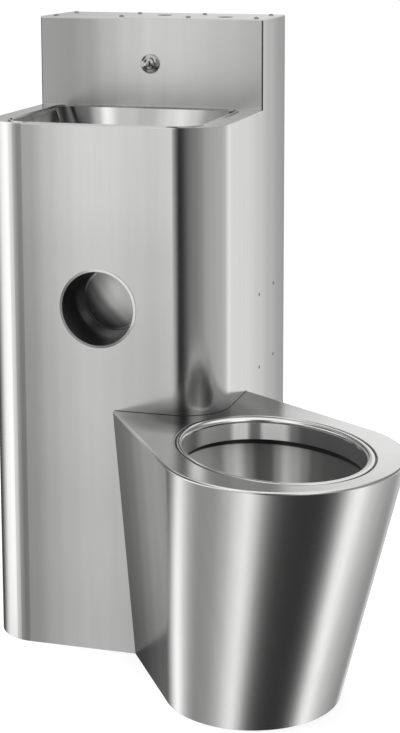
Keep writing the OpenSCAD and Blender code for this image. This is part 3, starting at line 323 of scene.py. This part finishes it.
make_world()
make_floor()
make_screen()
for lamp, lamp_values in LAMPS.items():
    soft_box(lamp, *lamp_values)


# Finishes

TONE_TOP = 1.5
TONE_SPREAD = 0.1
FINE_SHARE = 0.35
# The Y of a face's normal where it starts to count as the front, and where it fully does
FRONT_FROM, FRONT_FULL = -0.94, -0.995


def painted_tone(add, link, place, kind, where, stops):
    """Painted light and shade: a tone that changes with the place, from stops of (place, tone).

    The place is measured along a direction, by the distance from a near point, or by the angle
    round an upright axis.
    """
    if kind == "along":
        way = add("ShaderNodeVectorMath", operation="DOT_PRODUCT")
        way.inputs[1].default_value = where
        link(place, way.inputs[0])
        value = way.outputs["Value"]
    elif kind == "near":
        away = add("ShaderNodeVectorMath", operation="DISTANCE")
        away.inputs[1].default_value = where
        link(place, away.inputs[0])
        value = away.outputs["Value"]
    else:
        off = add("ShaderNodeVectorMath", operation="SUBTRACT")
        off.inputs[1].default_value = where
        split = add("ShaderNodeSeparateXYZ")
        turn = add("ShaderNodeMath", operation="ARCTAN2")
        degrees = add("ShaderNodeMath", operation="MULTIPLY")
        degrees.inputs[1].default_value = 180 / math.pi
        link(place, off.inputs[0])
        link(off.outputs[0], split.inputs[0])
        link(split.outputs["Y"], turn.inputs[0])
        link(split.outputs["X"], turn.inputs[1])
        link(turn.outputs[0], degrees.inputs[0])
        value = degrees.outputs[0]
    start, end = stops[0][0], stops[-1][0]
    share = share_of(add, link, value, start, end)
    marks = [((at - start) / (end - start), tone) for at, tone in stops]
    return grey_ramp(add, link, share, marks, TONE_TOP)


def steel(name, tone=0.70, rough=0.19, grain=(0.2, 0.2, 10), wave=0.03, bump=0.0006,
          tint=(1.0, 1.0, 0.99), streak=(46, 46, 1.6), painted_shades=(), metallic=1.0):
    """Ground stainless steel: fine grain, faint long streaks and slow changes of gloss.

    Painted shades paint light and shade as tones by place, each everywhere or only on front faces.
    """
    mat, add, link = new_material(name)
    out = add("ShaderNodeOutputMaterial")
    bsdf = add("ShaderNodeBsdfPrincipled", Metallic=metallic)
    place = add("ShaderNodeTexCoord").outputs["Object"]
    stretch = add("ShaderNodeMapping", Scale=grain)
    run = add("ShaderNodeMapping", Scale=streak)
    fine = add("ShaderNodeTexNoise", Scale=160.0, Detail=3.0, Roughness=0.6)
    long = add("ShaderNodeTexNoise", Scale=1.0, Detail=4.0, Roughness=0.65)
    slow = add("ShaderNodeTexNoise", Scale=3.2, Detail=2.0, Roughness=0.5)
    both = add("ShaderNodeMath", operation="MULTIPLY_ADD")
    both.inputs[1].default_value = FINE_SHARE
    most = add("ShaderNodeMath", operation="MULTIPLY")
    most.inputs[1].default_value = 1 - FINE_SHARE
    gloss = add("ShaderNodeMapRange", **{"To Min": rough - wave, "To Max": rough + wave})
    shade = add("ShaderNodeMix", data_type="RGBA")
    shade.inputs["A"].default_value = (*(tone * (1 - TONE_SPREAD) * t for t in tint), 1)
    shade.inputs["B"].default_value = (*(min(1.0, tone * (1 + TONE_SPREAD)) * t for t in tint), 1)
    ridge = add("ShaderNodeBump", Strength=bump, Distance=0.0004)
    link(place, stretch.inputs["Vector"])
    link(place, run.inputs["Vector"])
    link(stretch.outputs[0], fine.inputs["Vector"])
    link(run.outputs[0], long.inputs["Vector"])
    link(place, slow.inputs["Vector"])
    link(slow.outputs[0], gloss.inputs["Value"])
    link(gloss.outputs[0], bsdf.inputs["Roughness"])
    link(long.outputs[0], most.inputs[0])
    link(fine.outputs[0], both.inputs[0])
    link(most.outputs[0], both.inputs[2])
    link(both.outputs[0], shade.inputs["Factor"])
    colour = shade.outputs["Result"]
    # Each painted shade multiplies the colour by a painted tone of light or shade
    for kind, where, stops, front in painted_shades:
        share = painted_tone(add, link, place, kind, where, stops)
        full = add("ShaderNodeVectorMath", operation="SCALE", Scale=TONE_TOP)
        darker = add("ShaderNodeMix", data_type="RGBA", blend_type="MULTIPLY", Factor=1.0)
        link(share, full.inputs[0])
        link(colour, darker.inputs["A"])
        link(full.outputs[0], darker.inputs["B"])
        if front:
            face = add("ShaderNodeNewGeometry")
            split = add("ShaderNodeSeparateXYZ")
            link(face.outputs["True Normal"], split.inputs[0])
            mask = share_of(add, link, split.outputs["Y"], FRONT_FROM, FRONT_FULL)
            link(mask, darker.inputs["Factor"])
        colour = darker.outputs["Result"]
    link(colour, bsdf.inputs["Base Color"])
    link(fine.outputs[0], ridge.inputs["Height"])
    link(ridge.outputs[0], bsdf.inputs["Normal"])
    link(bsdf.outputs[0], out.inputs[0])
    return mat


def metal(name, colour):
    return steel(name, tone=0.9, rough=0.33, grain=(4, 4, 4), tint=colour, streak=(30, 30, 30))


def plastic(name, colour, rough):
    mat, add, link = new_material(name)
    out = add("ShaderNodeOutputMaterial")
    bsdf = add("ShaderNodeBsdfPrincipled", Roughness=rough)
    place = add("ShaderNodeTexCoord").outputs["Object"]
    grit = add("ShaderNodeTexNoise", Scale=900.0, Detail=2.0)
    slow = add("ShaderNodeTexNoise", Scale=18.0, Detail=3.0)
    shade = add("ShaderNodeMix", data_type="RGBA")
    shade.inputs["A"].default_value = (*(c * (1 - TONE_SPREAD) for c in colour), 1)
    shade.inputs["B"].default_value = (*colour, 1)
    ridge = add("ShaderNodeBump", Strength=0.08, Distance=0.0003)
    link(place, grit.inputs["Vector"])
    link(place, slow.inputs["Vector"])
    link(slow.outputs[0], shade.inputs["Factor"])
    link(shade.outputs["Result"], bsdf.inputs["Base Color"])
    link(grit.outputs[0], ridge.inputs["Height"])
    link(ridge.outputs[0], bsdf.inputs["Normal"])
    link(bsdf.outputs[0], out.inputs[0])
    return mat


FINISH = {
    "satin_steel": steel("satin_steel"),
    "polished_steel": steel("polished_steel", tone=0.55, rough=0.09, wave=0.03, bump=0.006),
    "bright_steel": steel("bright_steel", tone=0.42, rough=0.2, grain=(5, 5, 5), wave=0.05),
    "black_rubber": plastic("black_rubber", (0.02, 0.02, 0.021), 0.6),
    "brass": metal("brass", (0.78, 0.58, 0.29)),
    "copper": metal("copper", (0.80, 0.42, 0.28)),
    "white_plastic": plastic("white_plastic", (0.78, 0.78, 0.76), 0.4),
    "grey_plastic": plastic("grey_plastic", (0.30, 0.31, 0.32), 0.5),
}

# Directions and places in the finishes, in metres
ACROSS, BACKWARDS, UPWARDS, OUTWARDS = (1, 0, 0), (0, 1, 0), (0, 0, 1), (0.7071, -0.7071, 0)
UP_RIGHT = (0.75, 0, 0.66)
PAN_MIDDLE, BASIN_MIDDLE = (0.314, -0.539, 0), (0, -0.284, 0)
CAP_OPENINGS = (0, -0.068, 0.999), (0.117, -0.1, 0.999)
# Middle of the painted dark patch on the pan's plate
PAN_CORNER_SHADE = (0.15, -0.41, 0.4)

# Painted reflections in the bowls and the collar: tones by the angle in degrees
BOWL_PAINTED_REFLECTIONS = [
    (-180, 0.45), (-120, 0.5), (-60, 0.8), (0, 0.2), (28, 0.12), (48, 0.12), (66, 0.15),
    (78, 0.22), (84, 0.5), (90, 0.85), (97, 1.15), (102, 0.6), (106, 0.22), (113, 0.18),
    (118, 0.5), (124, 1.15), (129, 0.95), (134, 0.5), (142, 0.65), (158, 0.7), (180, 0.5)]
COLLAR_PAINTED_REFLECTIONS = [
    (-180, 0.4), (0, 0.1), (60, 0.12), (84, 0.15), (92, 0.35), (98, 1.2), (110, 1.2), (113, 0.3),
    (117, 0.3), (120, 1.2), (126, 1.2), (130, 0.45), (146, 0.5), (156, 0.2), (180, 0.4)]
BASIN_PAINTED_REFLECTIONS = [
    (-180, 1.0), (-90, 0.8), (0, 0.5), (20, 0.35), (42, 0.25), (50, 0.5), (58, 1.0), (66, 1.25),
    (74, 1.1), (80, 0.98), (87, 0.78), (95, 0.74), (103, 0.84), (112, 0.85), (121, 1.4),
    (126, 0.7), (131, 0.22), (142, 0.1), (150, 0.7), (165, 1.5), (180, 1.2)]

# Painted shade and reflections: the sides darker towards the back, the front lighter near the
# middle and darker towards the bottom
COLUMN_STEEL = steel("column_steel", painted_shades=[
    ("along", BACKWARDS, [(-0.40, 1.0), (-0.34, 1.06), (-0.25, 1.02), (-0.17, 0.86), (-0.10, 0.6),
                          (-0.03, 0.38), (0, 0.32)], False),
    ("along", ACROSS, [(-0.122, 0.62), (-0.111, 0.64), (-0.08, 0.84), (-0.05, 0.95), (-0.02, 1.0),
                       (0.03, 0.95), (0.06, 0.88), (0.09, 0.83), (0.122, 0.86)], True),
    ("along", UPWARDS, [(0.0, 0.7), (0.2, 0.8), (0.45, 0.9), (0.63, 1.0), (0.76, 1.1),
                        (0.85, 1.12)], True)])
# Painted reflection: the front darker towards the left and lightest in the middle
UPSTAND_STEEL = steel("upstand_steel", tone=0.9, rough=0.32, painted_shades=[
    ("along", ACROSS, [(-0.195, 0.55), (-0.145, 0.52), (-0.109, 0.6), (-0.073, 0.78),
                       (-0.037, 0.92), (0.0, 1.0), (0.036, 1.0), (0.072, 0.97), (0.126, 0.88),
                       (0.195, 0.8)], True)])
LEVEL_GRAIN = {"grain": (0.2, 10, 0.2), "streak": (1.6, 46, 46)}
LEVEL_STEEL = steel("level_steel", **LEVEL_GRAIN)
# Painted shade: the walls of the two openings nearly black
CAP_STEEL = steel("cap_steel", **LEVEL_GRAIN, painted_shades=[
    ("near", opening, [(0.0, 0.04), (0.0134, 0.04), (0.0139, 1.0)], False)
    for opening in CAP_OPENINGS])
# Painted shade: the plate darker towards the column, with a dark patch at the column's corner
PLATE_STEEL = steel("plate_steel", tone=0.74, grain=(3, 3, 3), streak=(12, 12, 12), painted_shades=[
    ("along", OUTWARDS, [(0.27, 0.56), (0.35, 0.65), (0.40, 0.78), (0.47, 0.95), (0.55, 1.0),
                         (0.7, 0.95), (0.8, 0.85)], False),
    ("near", PAN_CORNER_SHADE, [(0.0, 0.1), (0.045, 0.12), (0.08, 0.55), (0.12, 1.0)], False)])
# Painted shade: the pan's wall darker towards the column
SKIRT_STEEL = steel("skirt_steel", painted_shades=[
    ("along", OUTWARDS, [(0.352, 0.11), (0.40, 0.22), (0.45, 0.52), (0.5, 0.82),
                         (0.56, 1.0)], False)])
TAP_STEEL = steel("tap_steel", tone=0.4, rough=0.13)
# Painted shade: the inlets inside the upstand nearly black
INLET_STEEL = steel("inlet_steel", tone=0.1, rough=0.2)
SCREW_STEEL = steel("screw_steel", tone=0.2, rough=0.33)
# Painted shade and light: the recess dark towards the lower left, lighter towards the upper right
RECESS_STEEL = steel("recess_steel", rough=0.22, painted_shades=[
    ("along", UP_RIGHT, [(0.31, 0.45), (0.35, 0.3), (0.385, 0.6), (0.41, 1.2),
                         (0.432, 1.3)], False)])
# Painted light and shade: the domed end bright at the upper right, nearly black at the lower left
DOME_STEEL = steel("dome_steel", tone=0.92, rough=0.34, metallic=0.12, painted_shades=[
    ("along", UP_RIGHT, [(0.335, 0.06), (0.355, 0.26), (0.372, 0.8), (0.39, 1.1)], False)])
# Painted reflections in bands round the bowl, and a painted shadow under the collar: the bowl's top
# nearly black
BOWL_STEEL = steel("bowl_steel", tone=0.85, rough=0.33, metallic=0.35, painted_shades=[
    ("round", PAN_MIDDLE, BOWL_PAINTED_REFLECTIONS, False),
    ("along", UPWARDS, [(0.355, 1.0), (0.3575, 0.04)], False)])
# Painted reflections in bands round the collar
COLLAR_STEEL = steel("collar_steel", tone=0.85, rough=0.4, metallic=0.35, painted_shades=[
    ("round", PAN_MIDDLE, COLLAR_PAINTED_REFLECTIONS, False)])
RING_STEEL = steel("ring_steel", tone=0.74, rough=0.15)
# Painted reflections in bands round the basin
BASIN_STEEL = steel("basin_steel", rough=0.17, painted_shades=[("round", BASIN_MIDDLE, BASIN_PAINTED_REFLECTIONS, False)])

OWN_FINISH = {
    "column_shell": COLUMN_STEEL, "cap_plate": CAP_STEEL, "basin_deck": LEVEL_STEEL,
    "upstand_panel": UPSTAND_STEEL, "recess_cup": RECESS_STEEL, "recess_end": DOME_STEEL,
    "tap_collar": TAP_STEEL, "tap_button": TAP_STEEL, "cap_screws": SCREW_STEEL,
    "side_screws": SCREW_STEEL, "basin_inlet": INLET_STEEL, "flush_inlet": INLET_STEEL,
}
for part in frame["record"]["subparts"]:
    materials = nodes[part["node"]].data.materials
    materials.clear()
    materials.append(OWN_FINISH.get(part["node"], FINISH[part["material_slot"]]))


# Pieces

COLUMN_W, COLUMN_D, DECK_Z, UPSTAND_D, CAP_LOW, SHEET = 390, 420, 850, 150, 998, 2
COLUMN_R, COLUMN_GAP = 72, 0.3
PAN_H = 400
WELD_AT = 0.00002


def soften(obj, edge, angle, weld=False):
    """Rounded edges, with modifiers only. The edge is in millimetres and the angle in degrees."""
    if weld:
        join = obj.modifiers.new("weld", "WELD")
        join.merge_threshold = WELD_AT
    bevel = obj.modifiers.new("edges", "BEVEL")
    bevel.width, bevel.segments = edge * MM, 2
    bevel.limit_method, bevel.angle_limit = "ANGLE", math.radians(angle)
    bevel.harden_normals = True
    bevel.use_clamp_overlap = True


def stand_for(node, name, verts, faces, finish, edge, angle):
    """A skin of sheet metal that is shown for a node."""
    obj = mesh_object(name, verts, faces)
    obj.data.materials.append(finish)
    soften(obj, edge, angle)
    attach(obj, "unit")
    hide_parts(node)


def loft(node, name, loops, finish, edge, angle):
    """A skin through closed loops of equally many points, the last joined to the first."""
    n, m = len(loops[0]), len(loops)
    faces = []
    for i in range(m):
        k = (i + 1) % m
        for j in range(n):
            after = (j + 1) % n
            faces.append((i * n + j, i * n + after, k * n + after, k * n + j))
    stand_for(node, name, [p for loop in loops for p in loop], faces, finish, edge, angle)


def sheet(node, name, rows, finish, edge, angle):
    """A folded sheet through open rows of points, the last joined to the first, its ends closed."""
    n, m = len(rows[0]), len(rows)
    faces = []
    for i in range(m):
        k = (i + 1) % m
        faces += [(i * n + j, i * n + j + 1, k * n + j + 1, k * n + j) for j in range(n - 1)]
    for j in (0, n - 1):
        for i in range(m // 2 - 1):
            far = m - 1 - i
            quad = (i * n + j, (i + 1) * n + j, (far - 1) * n + j, far * n + j)
            faces.append(quad if j == 0 else quad[::-1])
    stand_for(node, name, [p for row in rows for p in row], faces, finish, edge, angle)


def between(a, b, k):
    return a[0] + (b[0] - a[0]) * k, a[1] + (b[1] - a[1]) * k


# Inside of the pan. In its frame, u runs out from the column's square corner along the pan's axis,
# and v across it.

PAN_AT, PAN_TURN = Vector((COLUMN_W / 2, -COLUMN_D, 0)), math.radians(-45)
LOOP_N = 192
SEAT_U, SEAT_A, SEAT_B, SEAT_GROOVE, SEAT_FLAT = 171, 176.5, 135.5, 1.5, 5
MOUTH_U, MOUTH_A, MOUTH_B, MOUTH_DROP, COLLAR_H = 168, 159, 124.5, 6, 26
SHOWN_GROOVE, RING_ROUND, RING_N = 2.6, 1.0, 8
COLLAR_TOP = PAN_H - MOUTH_DROP - SHEET
COLLAR_LOW = COLLAR_TOP - COLLAR_H
SUMP_U, SUMP_R, SUMP_Z, BOWL_STEP, BOWL_TAPER = 130, 62, 196, 4, 1.4
BOWL_FLANGE, BOWL_CLEAR, BOWL_N = 4, 0.02, 40
OUTLET_Z, OUTLET_R, OUTLET_WALL, TRAP_BEND = 200, 45, 2, 54


def pan_point(u, v, z):
    c, s = math.cos(PAN_TURN), math.sin(PAN_TURN)
    return (PAN_AT + Vector((c * u - s * v, s * u + c * v, z))) * MM


def oval(u, a, b, z):
    turns = (2 * math.pi * j / LOOP_N for j in range(LOOP_N))
    return [pan_point(u + a * math.cos(t), b * math.sin(t), z) for t in turns]


def make_seat_ring():
    """The ring: rounded at its edge, flat, and rolled over into the mouth."""
    a, b = SEAT_A - SHOWN_GROOVE, SEAT_B - SHOWN_GROOVE
    in_a, in_b = SEAT_A - SEAT_GROOVE - SEAT_FLAT, SEAT_B - SEAT_GROOVE - SEAT_FLAT
    rise = [math.pi / 2 * i / RING_N for i in range(RING_N + 1)]
    loops = [oval(SEAT_U, in_a, in_b, PAN_H - SHEET), oval(SEAT_U, a, b, PAN_H - SHEET)]
    for t in rise:
        inset, drop = RING_ROUND * (1 - math.cos(t)), RING_ROUND * (1 - math.sin(t))
        loops.append(oval(SEAT_U, a - inset, b - inset, PAN_H - drop))
    for t in rise:
        k, drop = math.sin(t), MOUTH_DROP * (1 - math.cos(t))
        loops.append(oval(SEAT_U + (MOUTH_U - SEAT_U) * k, in_a + (MOUTH_A - in_a) * k,
                          in_b + (MOUTH_B - in_b) * k, PAN_H - drop))
    loops.append(oval(MOUTH_U, MOUTH_A, MOUTH_B, COLLAR_TOP))
    loft("seat_ring", "seat_ring_fine", loops, RING_STEEL, edge=0.3, angle=50)


def make_pan_collar():
    corners = (SHEET, COLLAR_TOP), (SHEET, COLLAR_LOW), (0, COLLAR_LOW), (0, COLLAR_TOP)
    loops = [oval(MOUTH_U, MOUTH_A + out, MOUTH_B + out, z) for out, z in corners]
    loft("pan_collar", "pan_collar_fine", loops, COLLAR_STEEL, edge=0.5, angle=28)


def bowl_skin(out):
    loops = [oval(SEAT_U, SEAT_A + out, SEAT_B + out, PAN_H - 2 * SHEET)]
    for i in range(BOWL_N + 1):
        t = math.pi / 2 * i / BOWL_N
        k = max(0.0, math.cos(t)) ** BOWL_TAPER
        loops.append(oval(SUMP_U + (SEAT_U - SUMP_U) * k,
                          SUMP_R + (SEAT_A - BOWL_STEP - SUMP_R) * k + out * k,
                          SUMP_R + (SEAT_B - BOWL_STEP - SUMP_R) * k + out * k,
                          COLLAR_LOW - (COLLAR_LOW - SUMP_Z) * math.sin(t) - out * (1 - k)))
    r = OUTLET_R - OUTLET_WALL + out
    loops.append(oval(SUMP_U, r, r, OUTLET_Z - TRAP_BEND))
    return loops


def make_pan_bowl():
    high, low = PAN_H - SHEET - BOWL_CLEAR, PAN_H - 2 * SHEET
    out, inset = BOWL_FLANGE, SEAT_GROOVE + BOWL_FLANGE
    outer = [oval(SEAT_U, SEAT_A + out, SEAT_B + out, z) for z in (high, low)]
    inner = [oval(SEAT_U, SEAT_A - inset, SEAT_B - inset, z) for z in (low, high)]
    loops = outer + bowl_skin(SHEET) + bowl_skin(0)[::-1] + inner
    loft("pan_bowl", "pan_bowl_fine", loops, BOWL_STEEL, edge=0.5, angle=35)


# Basin

BASIN_W, BASIN_FRONT, BASIN_BACK = 318, 6, 4
BASIN_RF, BASIN_RB, BASIN_H, BASIN_DRAW, BASIN_FILLET, BASIN_FALL = 45, 26, 132, 22, 34, 8
BASIN_CY = -(COLUMN_D - BASIN_FRONT + UPSTAND_D + BASIN_BACK) / 2
BASIN_HALF_D = (COLUMN_D - BASIN_FRONT - UPSTAND_D - BASIN_BACK) / 2
BASIN_CORNER_N, BASIN_SIDE_N, BASIN_FILLET_N = 24, 16, 18
BASIN_SWELL = 30
BASIN_WALL_SHARES = (0, 0.008, 0.05, 0.2, 0.4, 0.6, 0.8, 0.95, 1)
BASIN_FLOOR_SHARES = (0.04, 0.3, 0.6, 0.9, 0.98)
WASTE_Y, WASTE_Z, WASTE_FLANGE, WASTE_BORE = 246, DECK_Z - BASIN_H, 68, 45
WASTE_SEAT, WASTE_HOLE = WASTE_FLANGE / 2 + 3, WASTE_BORE / 2 + 0.35


def basin_directions():
    """Directions from the middle of the basin: close together round its corners."""
    a, b, rf, rb = BASIN_W / 2, BASIN_HALF_D, BASIN_RF, BASIN_RB
    places = ((a - rb, b - rb, rb, 0), (-a + rb, b - rb, rb, 90),
              (-a + rf, -b + rf, rf, 180), (a - rf, -b + rf, rf, 270))
    corners = []
    for cx, cy, r, start in places:
        turns = (math.radians(start + 90 * j / BASIN_CORNER_N) for j in range(BASIN_CORNER_N + 1))
        corners.append([(cx + r * math.cos(t), cy + r * math.sin(t)) for t in turns])
    points = []
    for corner, after in zip(corners, corners[1:] + corners[:1]):
        points += corner
        points += [between(corner[-1], after[0], i / BASIN_SIDE_N) for i in range(1, BASIN_SIDE_N)]
    return [math.atan2(y, x) for x, y in points]


def reach(t, a, b, r):
    """Distance to a rectangle with round corners, from its middle along direction t."""
    c, s = abs(math.cos(t)), abs(math.sin(t))
    if s * a <= c * (b - r):
        return a / c
    if c * b <= s * (a - r):
        return b / s
    cross = c * (b - r) - s * (a - r)
    return c * (a - r) + s * (b - r) + math.sqrt(max(0, r * r - cross * cross))


def basin_loop(cy, a, b, rf, rb, z):
    loop = []
    for t in basin_directions():
        k = reach(t, a, b, rb if math.sin(t) > 0 else rf)
        loop.append(Vector((k * math.cos(t), cy + k * math.sin(t), z)) * MM)
    return loop


def basin_skin(out):
    floor_z = WASTE_Z + BASIN_FALL
    a, b = BASIN_W / 2 - BASIN_DRAW, BASIN_HALF_D - BASIN_DRAW
    loops = []
    for k in BASIN_WALL_SHARES:
        z = DECK_Z - SHEET + (floor_z + BASIN_FILLET - DECK_Z + SHEET) * k
        grow = (1 - k) * BASIN_DRAW + out
        r = BASIN_DRAW * k + BASIN_SWELL * k * k + out
        loops.append(basin_loop(BASIN_CY, a + grow, b + grow, BASIN_RF + r, BASIN_RB + r, z))
    for i in range(1, BASIN_FILLET_N + 1):
        t = math.pi / 2 * i / BASIN_FILLET_N
        draw = BASIN_FILLET * (1 - math.cos(t)) - out * math.cos(t)
        z = floor_z + BASIN_FILLET - (BASIN_FILLET + out) * math.sin(t)
        r = BASIN_DRAW + BASIN_SWELL - draw / 2
        loops.append(basin_loop(BASIN_CY, a - draw, b - draw, BASIN_RF + r, BASIN_RB + r, z))
    rim, seat, hole = loops[-1], [WASTE_SEAT] * 4, [WASTE_HOLE] * 4
    low = basin_loop(-WASTE_Y, *seat, WASTE_Z - out)
    loops += [[p.lerp(q, k) for p, q in zip(rim, low)] for k in BASIN_FLOOR_SHARES]
    return loops + [low, basin_loop(-WASTE_Y, *hole, WASTE_Z - out)]


def make_basin_bowl():
    loops = basin_skin(SHEET) + basin_skin(0)[::-1]
    loft("basin_bowl", "basin_bowl_fine", loops, BASIN_STEEL, edge=0.4, angle=50)


# Outer wall and top plate of the pan

PAN_TOP_R, PAN_TOP_U, PAN_BASE_R, PAN_BASE_U, PAN_FLARE = 180, 196, 135, 108, 11
PAN_ARC_N, PAN_FLAT_N, PAN_ROWS = 180, 10, 16
PAN_ROUND, PAN_ROUND_N, HOLE_ROUND = 3.6, 6, 1.4
PLATE_CORNER_N, PLATE_UNDER_N = 24, 3
PLATE_SHARES = (0.03, 0.5, 0.97)


def pan_edge(z, inset=0.0):
    """Outline of the pan at a height, moved in by an inset, from its right end to its left end."""
    k = z / PAN_H
    u0 = PAN_BASE_U + (PAN_TOP_U - PAN_BASE_U) * k
    r = PAN_BASE_R + (PAN_TOP_R - PAN_BASE_R) * k - inset
    half = math.radians(90 + PAN_FLARE)
    turns = (half * (1 - 2 * j / PAN_ARC_N) for j in range(PAN_ARC_N + 1))
    arc = [(u0 + r * math.cos(t), r * math.sin(t)) for t in turns]
    u1, v1 = arc[0]
    du, dv = -math.sin(half), math.cos(half)
    run = (COLUMN_GAP * math.sqrt(2) - u1 - v1) / (du + dv)
    lengths = [run * (1 - i / PAN_FLAT_N) for i in range(PAN_FLAT_N)]
    right = [(u1 + du * length, v1 + dv * length) for length in lengths]
    left = [(u, -v) for u, v in reversed(right)]
    return right + arc + left


def make_pan_skirt():
    heights = [(PAN_H - PAN_ROUND) * i / PAN_ROWS for i in range(PAN_ROWS + 1)]
    outer, inner = (
        [[pan_point(u, v, z) for u, v in pan_edge(z, inset)] for z in heights]
        for inset in (0, SHEET))
    sheet("pan_skirt", "pan_skirt_fine", outer + inner[::-1], SKIRT_STEEL, edge=0.3, angle=40)


def oval_at(u, v, out=0.0):
    """The point of the seat ring's hole, or so far out from it, in the direction of u, v."""
    t = math.atan2(v, u - SEAT_U)
    k = 1 / math.hypot(math.cos(t) / (SEAT_A + out), math.sin(t) / (SEAT_B + out))
    return SEAT_U + k * math.cos(t), k * math.sin(t)


def make_pan_top():
    """The plate, turned down at its edge in a small round."""
    low = PAN_H - PAN_ROUND
    centre, r = -COLUMN_R * math.sqrt(2), COLUMN_R + COLUMN_GAP
    turns = (math.radians(45) * (1 - 2 * j / PLATE_CORNER_N) for j in range(PLATE_CORNER_N + 1))
    corner = [(centre + r * math.cos(t), -r * math.sin(t)) for t in turns]

    def ring(z, inset):
        front = pan_edge(min(z, low), inset)
        ends = (front[-1], corner[0]), (corner[-1], front[0])
        join = [[between(a, b, i / PAN_FLAT_N) for i in range(1, PAN_FLAT_N)] for a, b in ends]
        return front + join[0] + corner + join[1]

    def at(points, z):
        return [pan_point(u, v, z) for u, v in points]

    loops = []
    rise = [math.pi / 2 * i / PAN_ROUND_N for i in range(PAN_ROUND_N + 1)]
    for t in rise:
        z = low + PAN_ROUND * math.sin(t)
        loops.append(at(ring(z, PAN_ROUND * (1 - math.cos(t))), z))
    flat = ring(PAN_H, PAN_ROUND)
    lip = [oval_at(u, v, HOLE_ROUND) for u, v in flat]
    for k in PLATE_SHARES:
        loops.append(at([between(a, b, k) for a, b in zip(flat, lip)], PAN_H))
    for t in rise:
        hole = [oval_at(u, v, HOLE_ROUND * (1 - math.sin(t))) for u, v in flat]
        loops.append(at(hole, PAN_H - HOLE_ROUND * (1 - math.cos(t))))
    loops.append(at([oval_at(u, v) for u, v in flat], PAN_H - SHEET))
    loops.append(at(ring(low, PAN_ROUND), PAN_H - SHEET))
    r = PAN_ROUND - SHEET
    for i in range(1, PLATE_UNDER_N + 1):
        t = math.pi / 2 * (1 - i / PLATE_UNDER_N)
        loops.append(at(ring(low, PAN_ROUND - r * math.cos(t)), low + r * math.sin(t)))
    loft("pan_top", "pan_top_fine", loops, PLATE_STEEL, edge=0.25, angle=50)


make_seat_ring()
make_pan_collar()
make_pan_bowl()
make_basin_bowl()
make_pan_skirt()
make_pan_top()
soften(nodes["upstand_panel"], edge=0.8, angle=40, weld=True)


# Painted shadow lines: thin dark strips at the joints

SEAM_PROUD, SEAM_IN, SEAM_PAST, SEAM_N = 0.3, 0.6, 3, 24
PAN_SEAM_W, RIGHT_SEAM_W, LEFT_SEAM_W = 1.2, 2.2, 1.0


def seam(name, points, outward, w):
    """Painted shadow line: a dark section w wide swept along points, a little proud and w deep."""
    spots, last = [Vector(p) for p in points], len(points) - 1
    verts, faces = [], []
    for i, out in enumerate(outward):
        ahead = (spots[min(i + 1, last)] - spots[max(i - 1, 0)]).normalized()
        o = Vector(out).normalized()
        side = o.cross(ahead).normalized()
        section = (SEAM_PROUD, -w / 2), (SEAM_PROUD, w / 2), (-w, w / 2), (-w, -w / 2)
        verts += [(spots[i] + o * a + side * b) * MM for a, b in section]
    for i in range(0, 4 * last, 4):
        faces += [(i + k, i + (k + 1) % 4, i + 4 + (k + 1) % 4, i + 4 + k) for k in range(4)]
    faces += [(3, 2, 1, 0), tuple(4 * last + k for k in range(4))]
    obj = mesh_object(name, verts, faces, smooth=False)
    # Black, as a painted shadow
    obj.data.materials.append(FINISH["black_rubber"])
    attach(obj, "unit")


def make_shadow_lines():
    """Painted shadow between the upstand's front and sides, and at the pan's top by the column."""
    half = COLUMN_W / 2
    sides = ("upstand_seam_right", 1, RIGHT_SEAM_W), ("upstand_seam_left", -1, LEFT_SEAM_W)
    for name, sign, w in sides:
        x = sign * (half - SEAM_IN)
        seam(name, [(x, -UPSTAND_D, DECK_Z), (x, -UPSTAND_D, CAP_LOW)], [(sign, -1, 0)] * 2, w)
    cx, cy = half - COLUMN_R, -COLUMN_D + COLUMN_R
    turns = [math.radians(-90 + 90 * i / SEAM_N) for i in range(SEAM_N + 1)]
    looks = [(math.cos(t), math.sin(t), 0) for t in turns]
    corner = [(cx + COLUMN_R * x, cy + COLUMN_R * y, PAN_H) for x, y, _ in looks]
    left, right = (pan_point(*pan_edge(PAN_H)[end], PAN_H) / MM for end in (-1, 0))
    start, stop = (left.x + SEAM_PAST, -COLUMN_D, PAN_H), (half, right.y - SEAM_PAST, PAN_H)
    seam("pan_seam", [start] + corner + [stop], [(0, -1, 0)] + looks + [(1, 0, 0)], PAN_SEAM_W)


make_shadow_lines()


# Spring of the tap

TAP_STROKE, SPRING_WIRE_R = 5.0, 0.7
SPRING_TURNS, SPRING_STEPS, SPRING_SIDES = 6, 144, 8


def make_tap_spring():
    """A round wire wound from the piston to the bore's end."""
    low, high = (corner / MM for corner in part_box("tap_spring"))
    middle, length = (low + high) / 2, high.y - low.y
    coil_r = (high.x - low.x) / 2 - SPRING_WIRE_R
    pitch = (length - 2 * SPRING_WIRE_R) / SPRING_STEPS
    verts, faces, n = [], [], SPRING_SIDES
    for i in range(SPRING_STEPS + 1):
        turn = 2 * math.pi * SPRING_TURNS * i / SPRING_STEPS
        for j in range(n):
            a = 2 * math.pi * j / n
            out = coil_r + SPRING_WIRE_R * math.cos(a)
            y = low.y + SPRING_WIRE_R * (1 + math.sin(a)) + pitch * i
            x, z = middle.x + out * math.cos(turn), middle.z + out * math.sin(turn)
            verts.append(Vector((x, y, z)) * MM)
    for i in range(0, n * SPRING_STEPS, n):
        faces += [(i + j, i + (j + 1) % n, i + n + (j + 1) % n, i + n + j) for j in range(n)]
    faces += [tuple(range(n - 1, -1, -1)), tuple(n * SPRING_STEPS + j for j in range(n))]
    obj = mesh_object("tap_spring_fine", verts, faces)
    obj.data.materials.append(FINISH["bright_steel"])
    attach(obj, "unit")
    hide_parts("tap_spring")
    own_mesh(obj)


make_tap_spring()
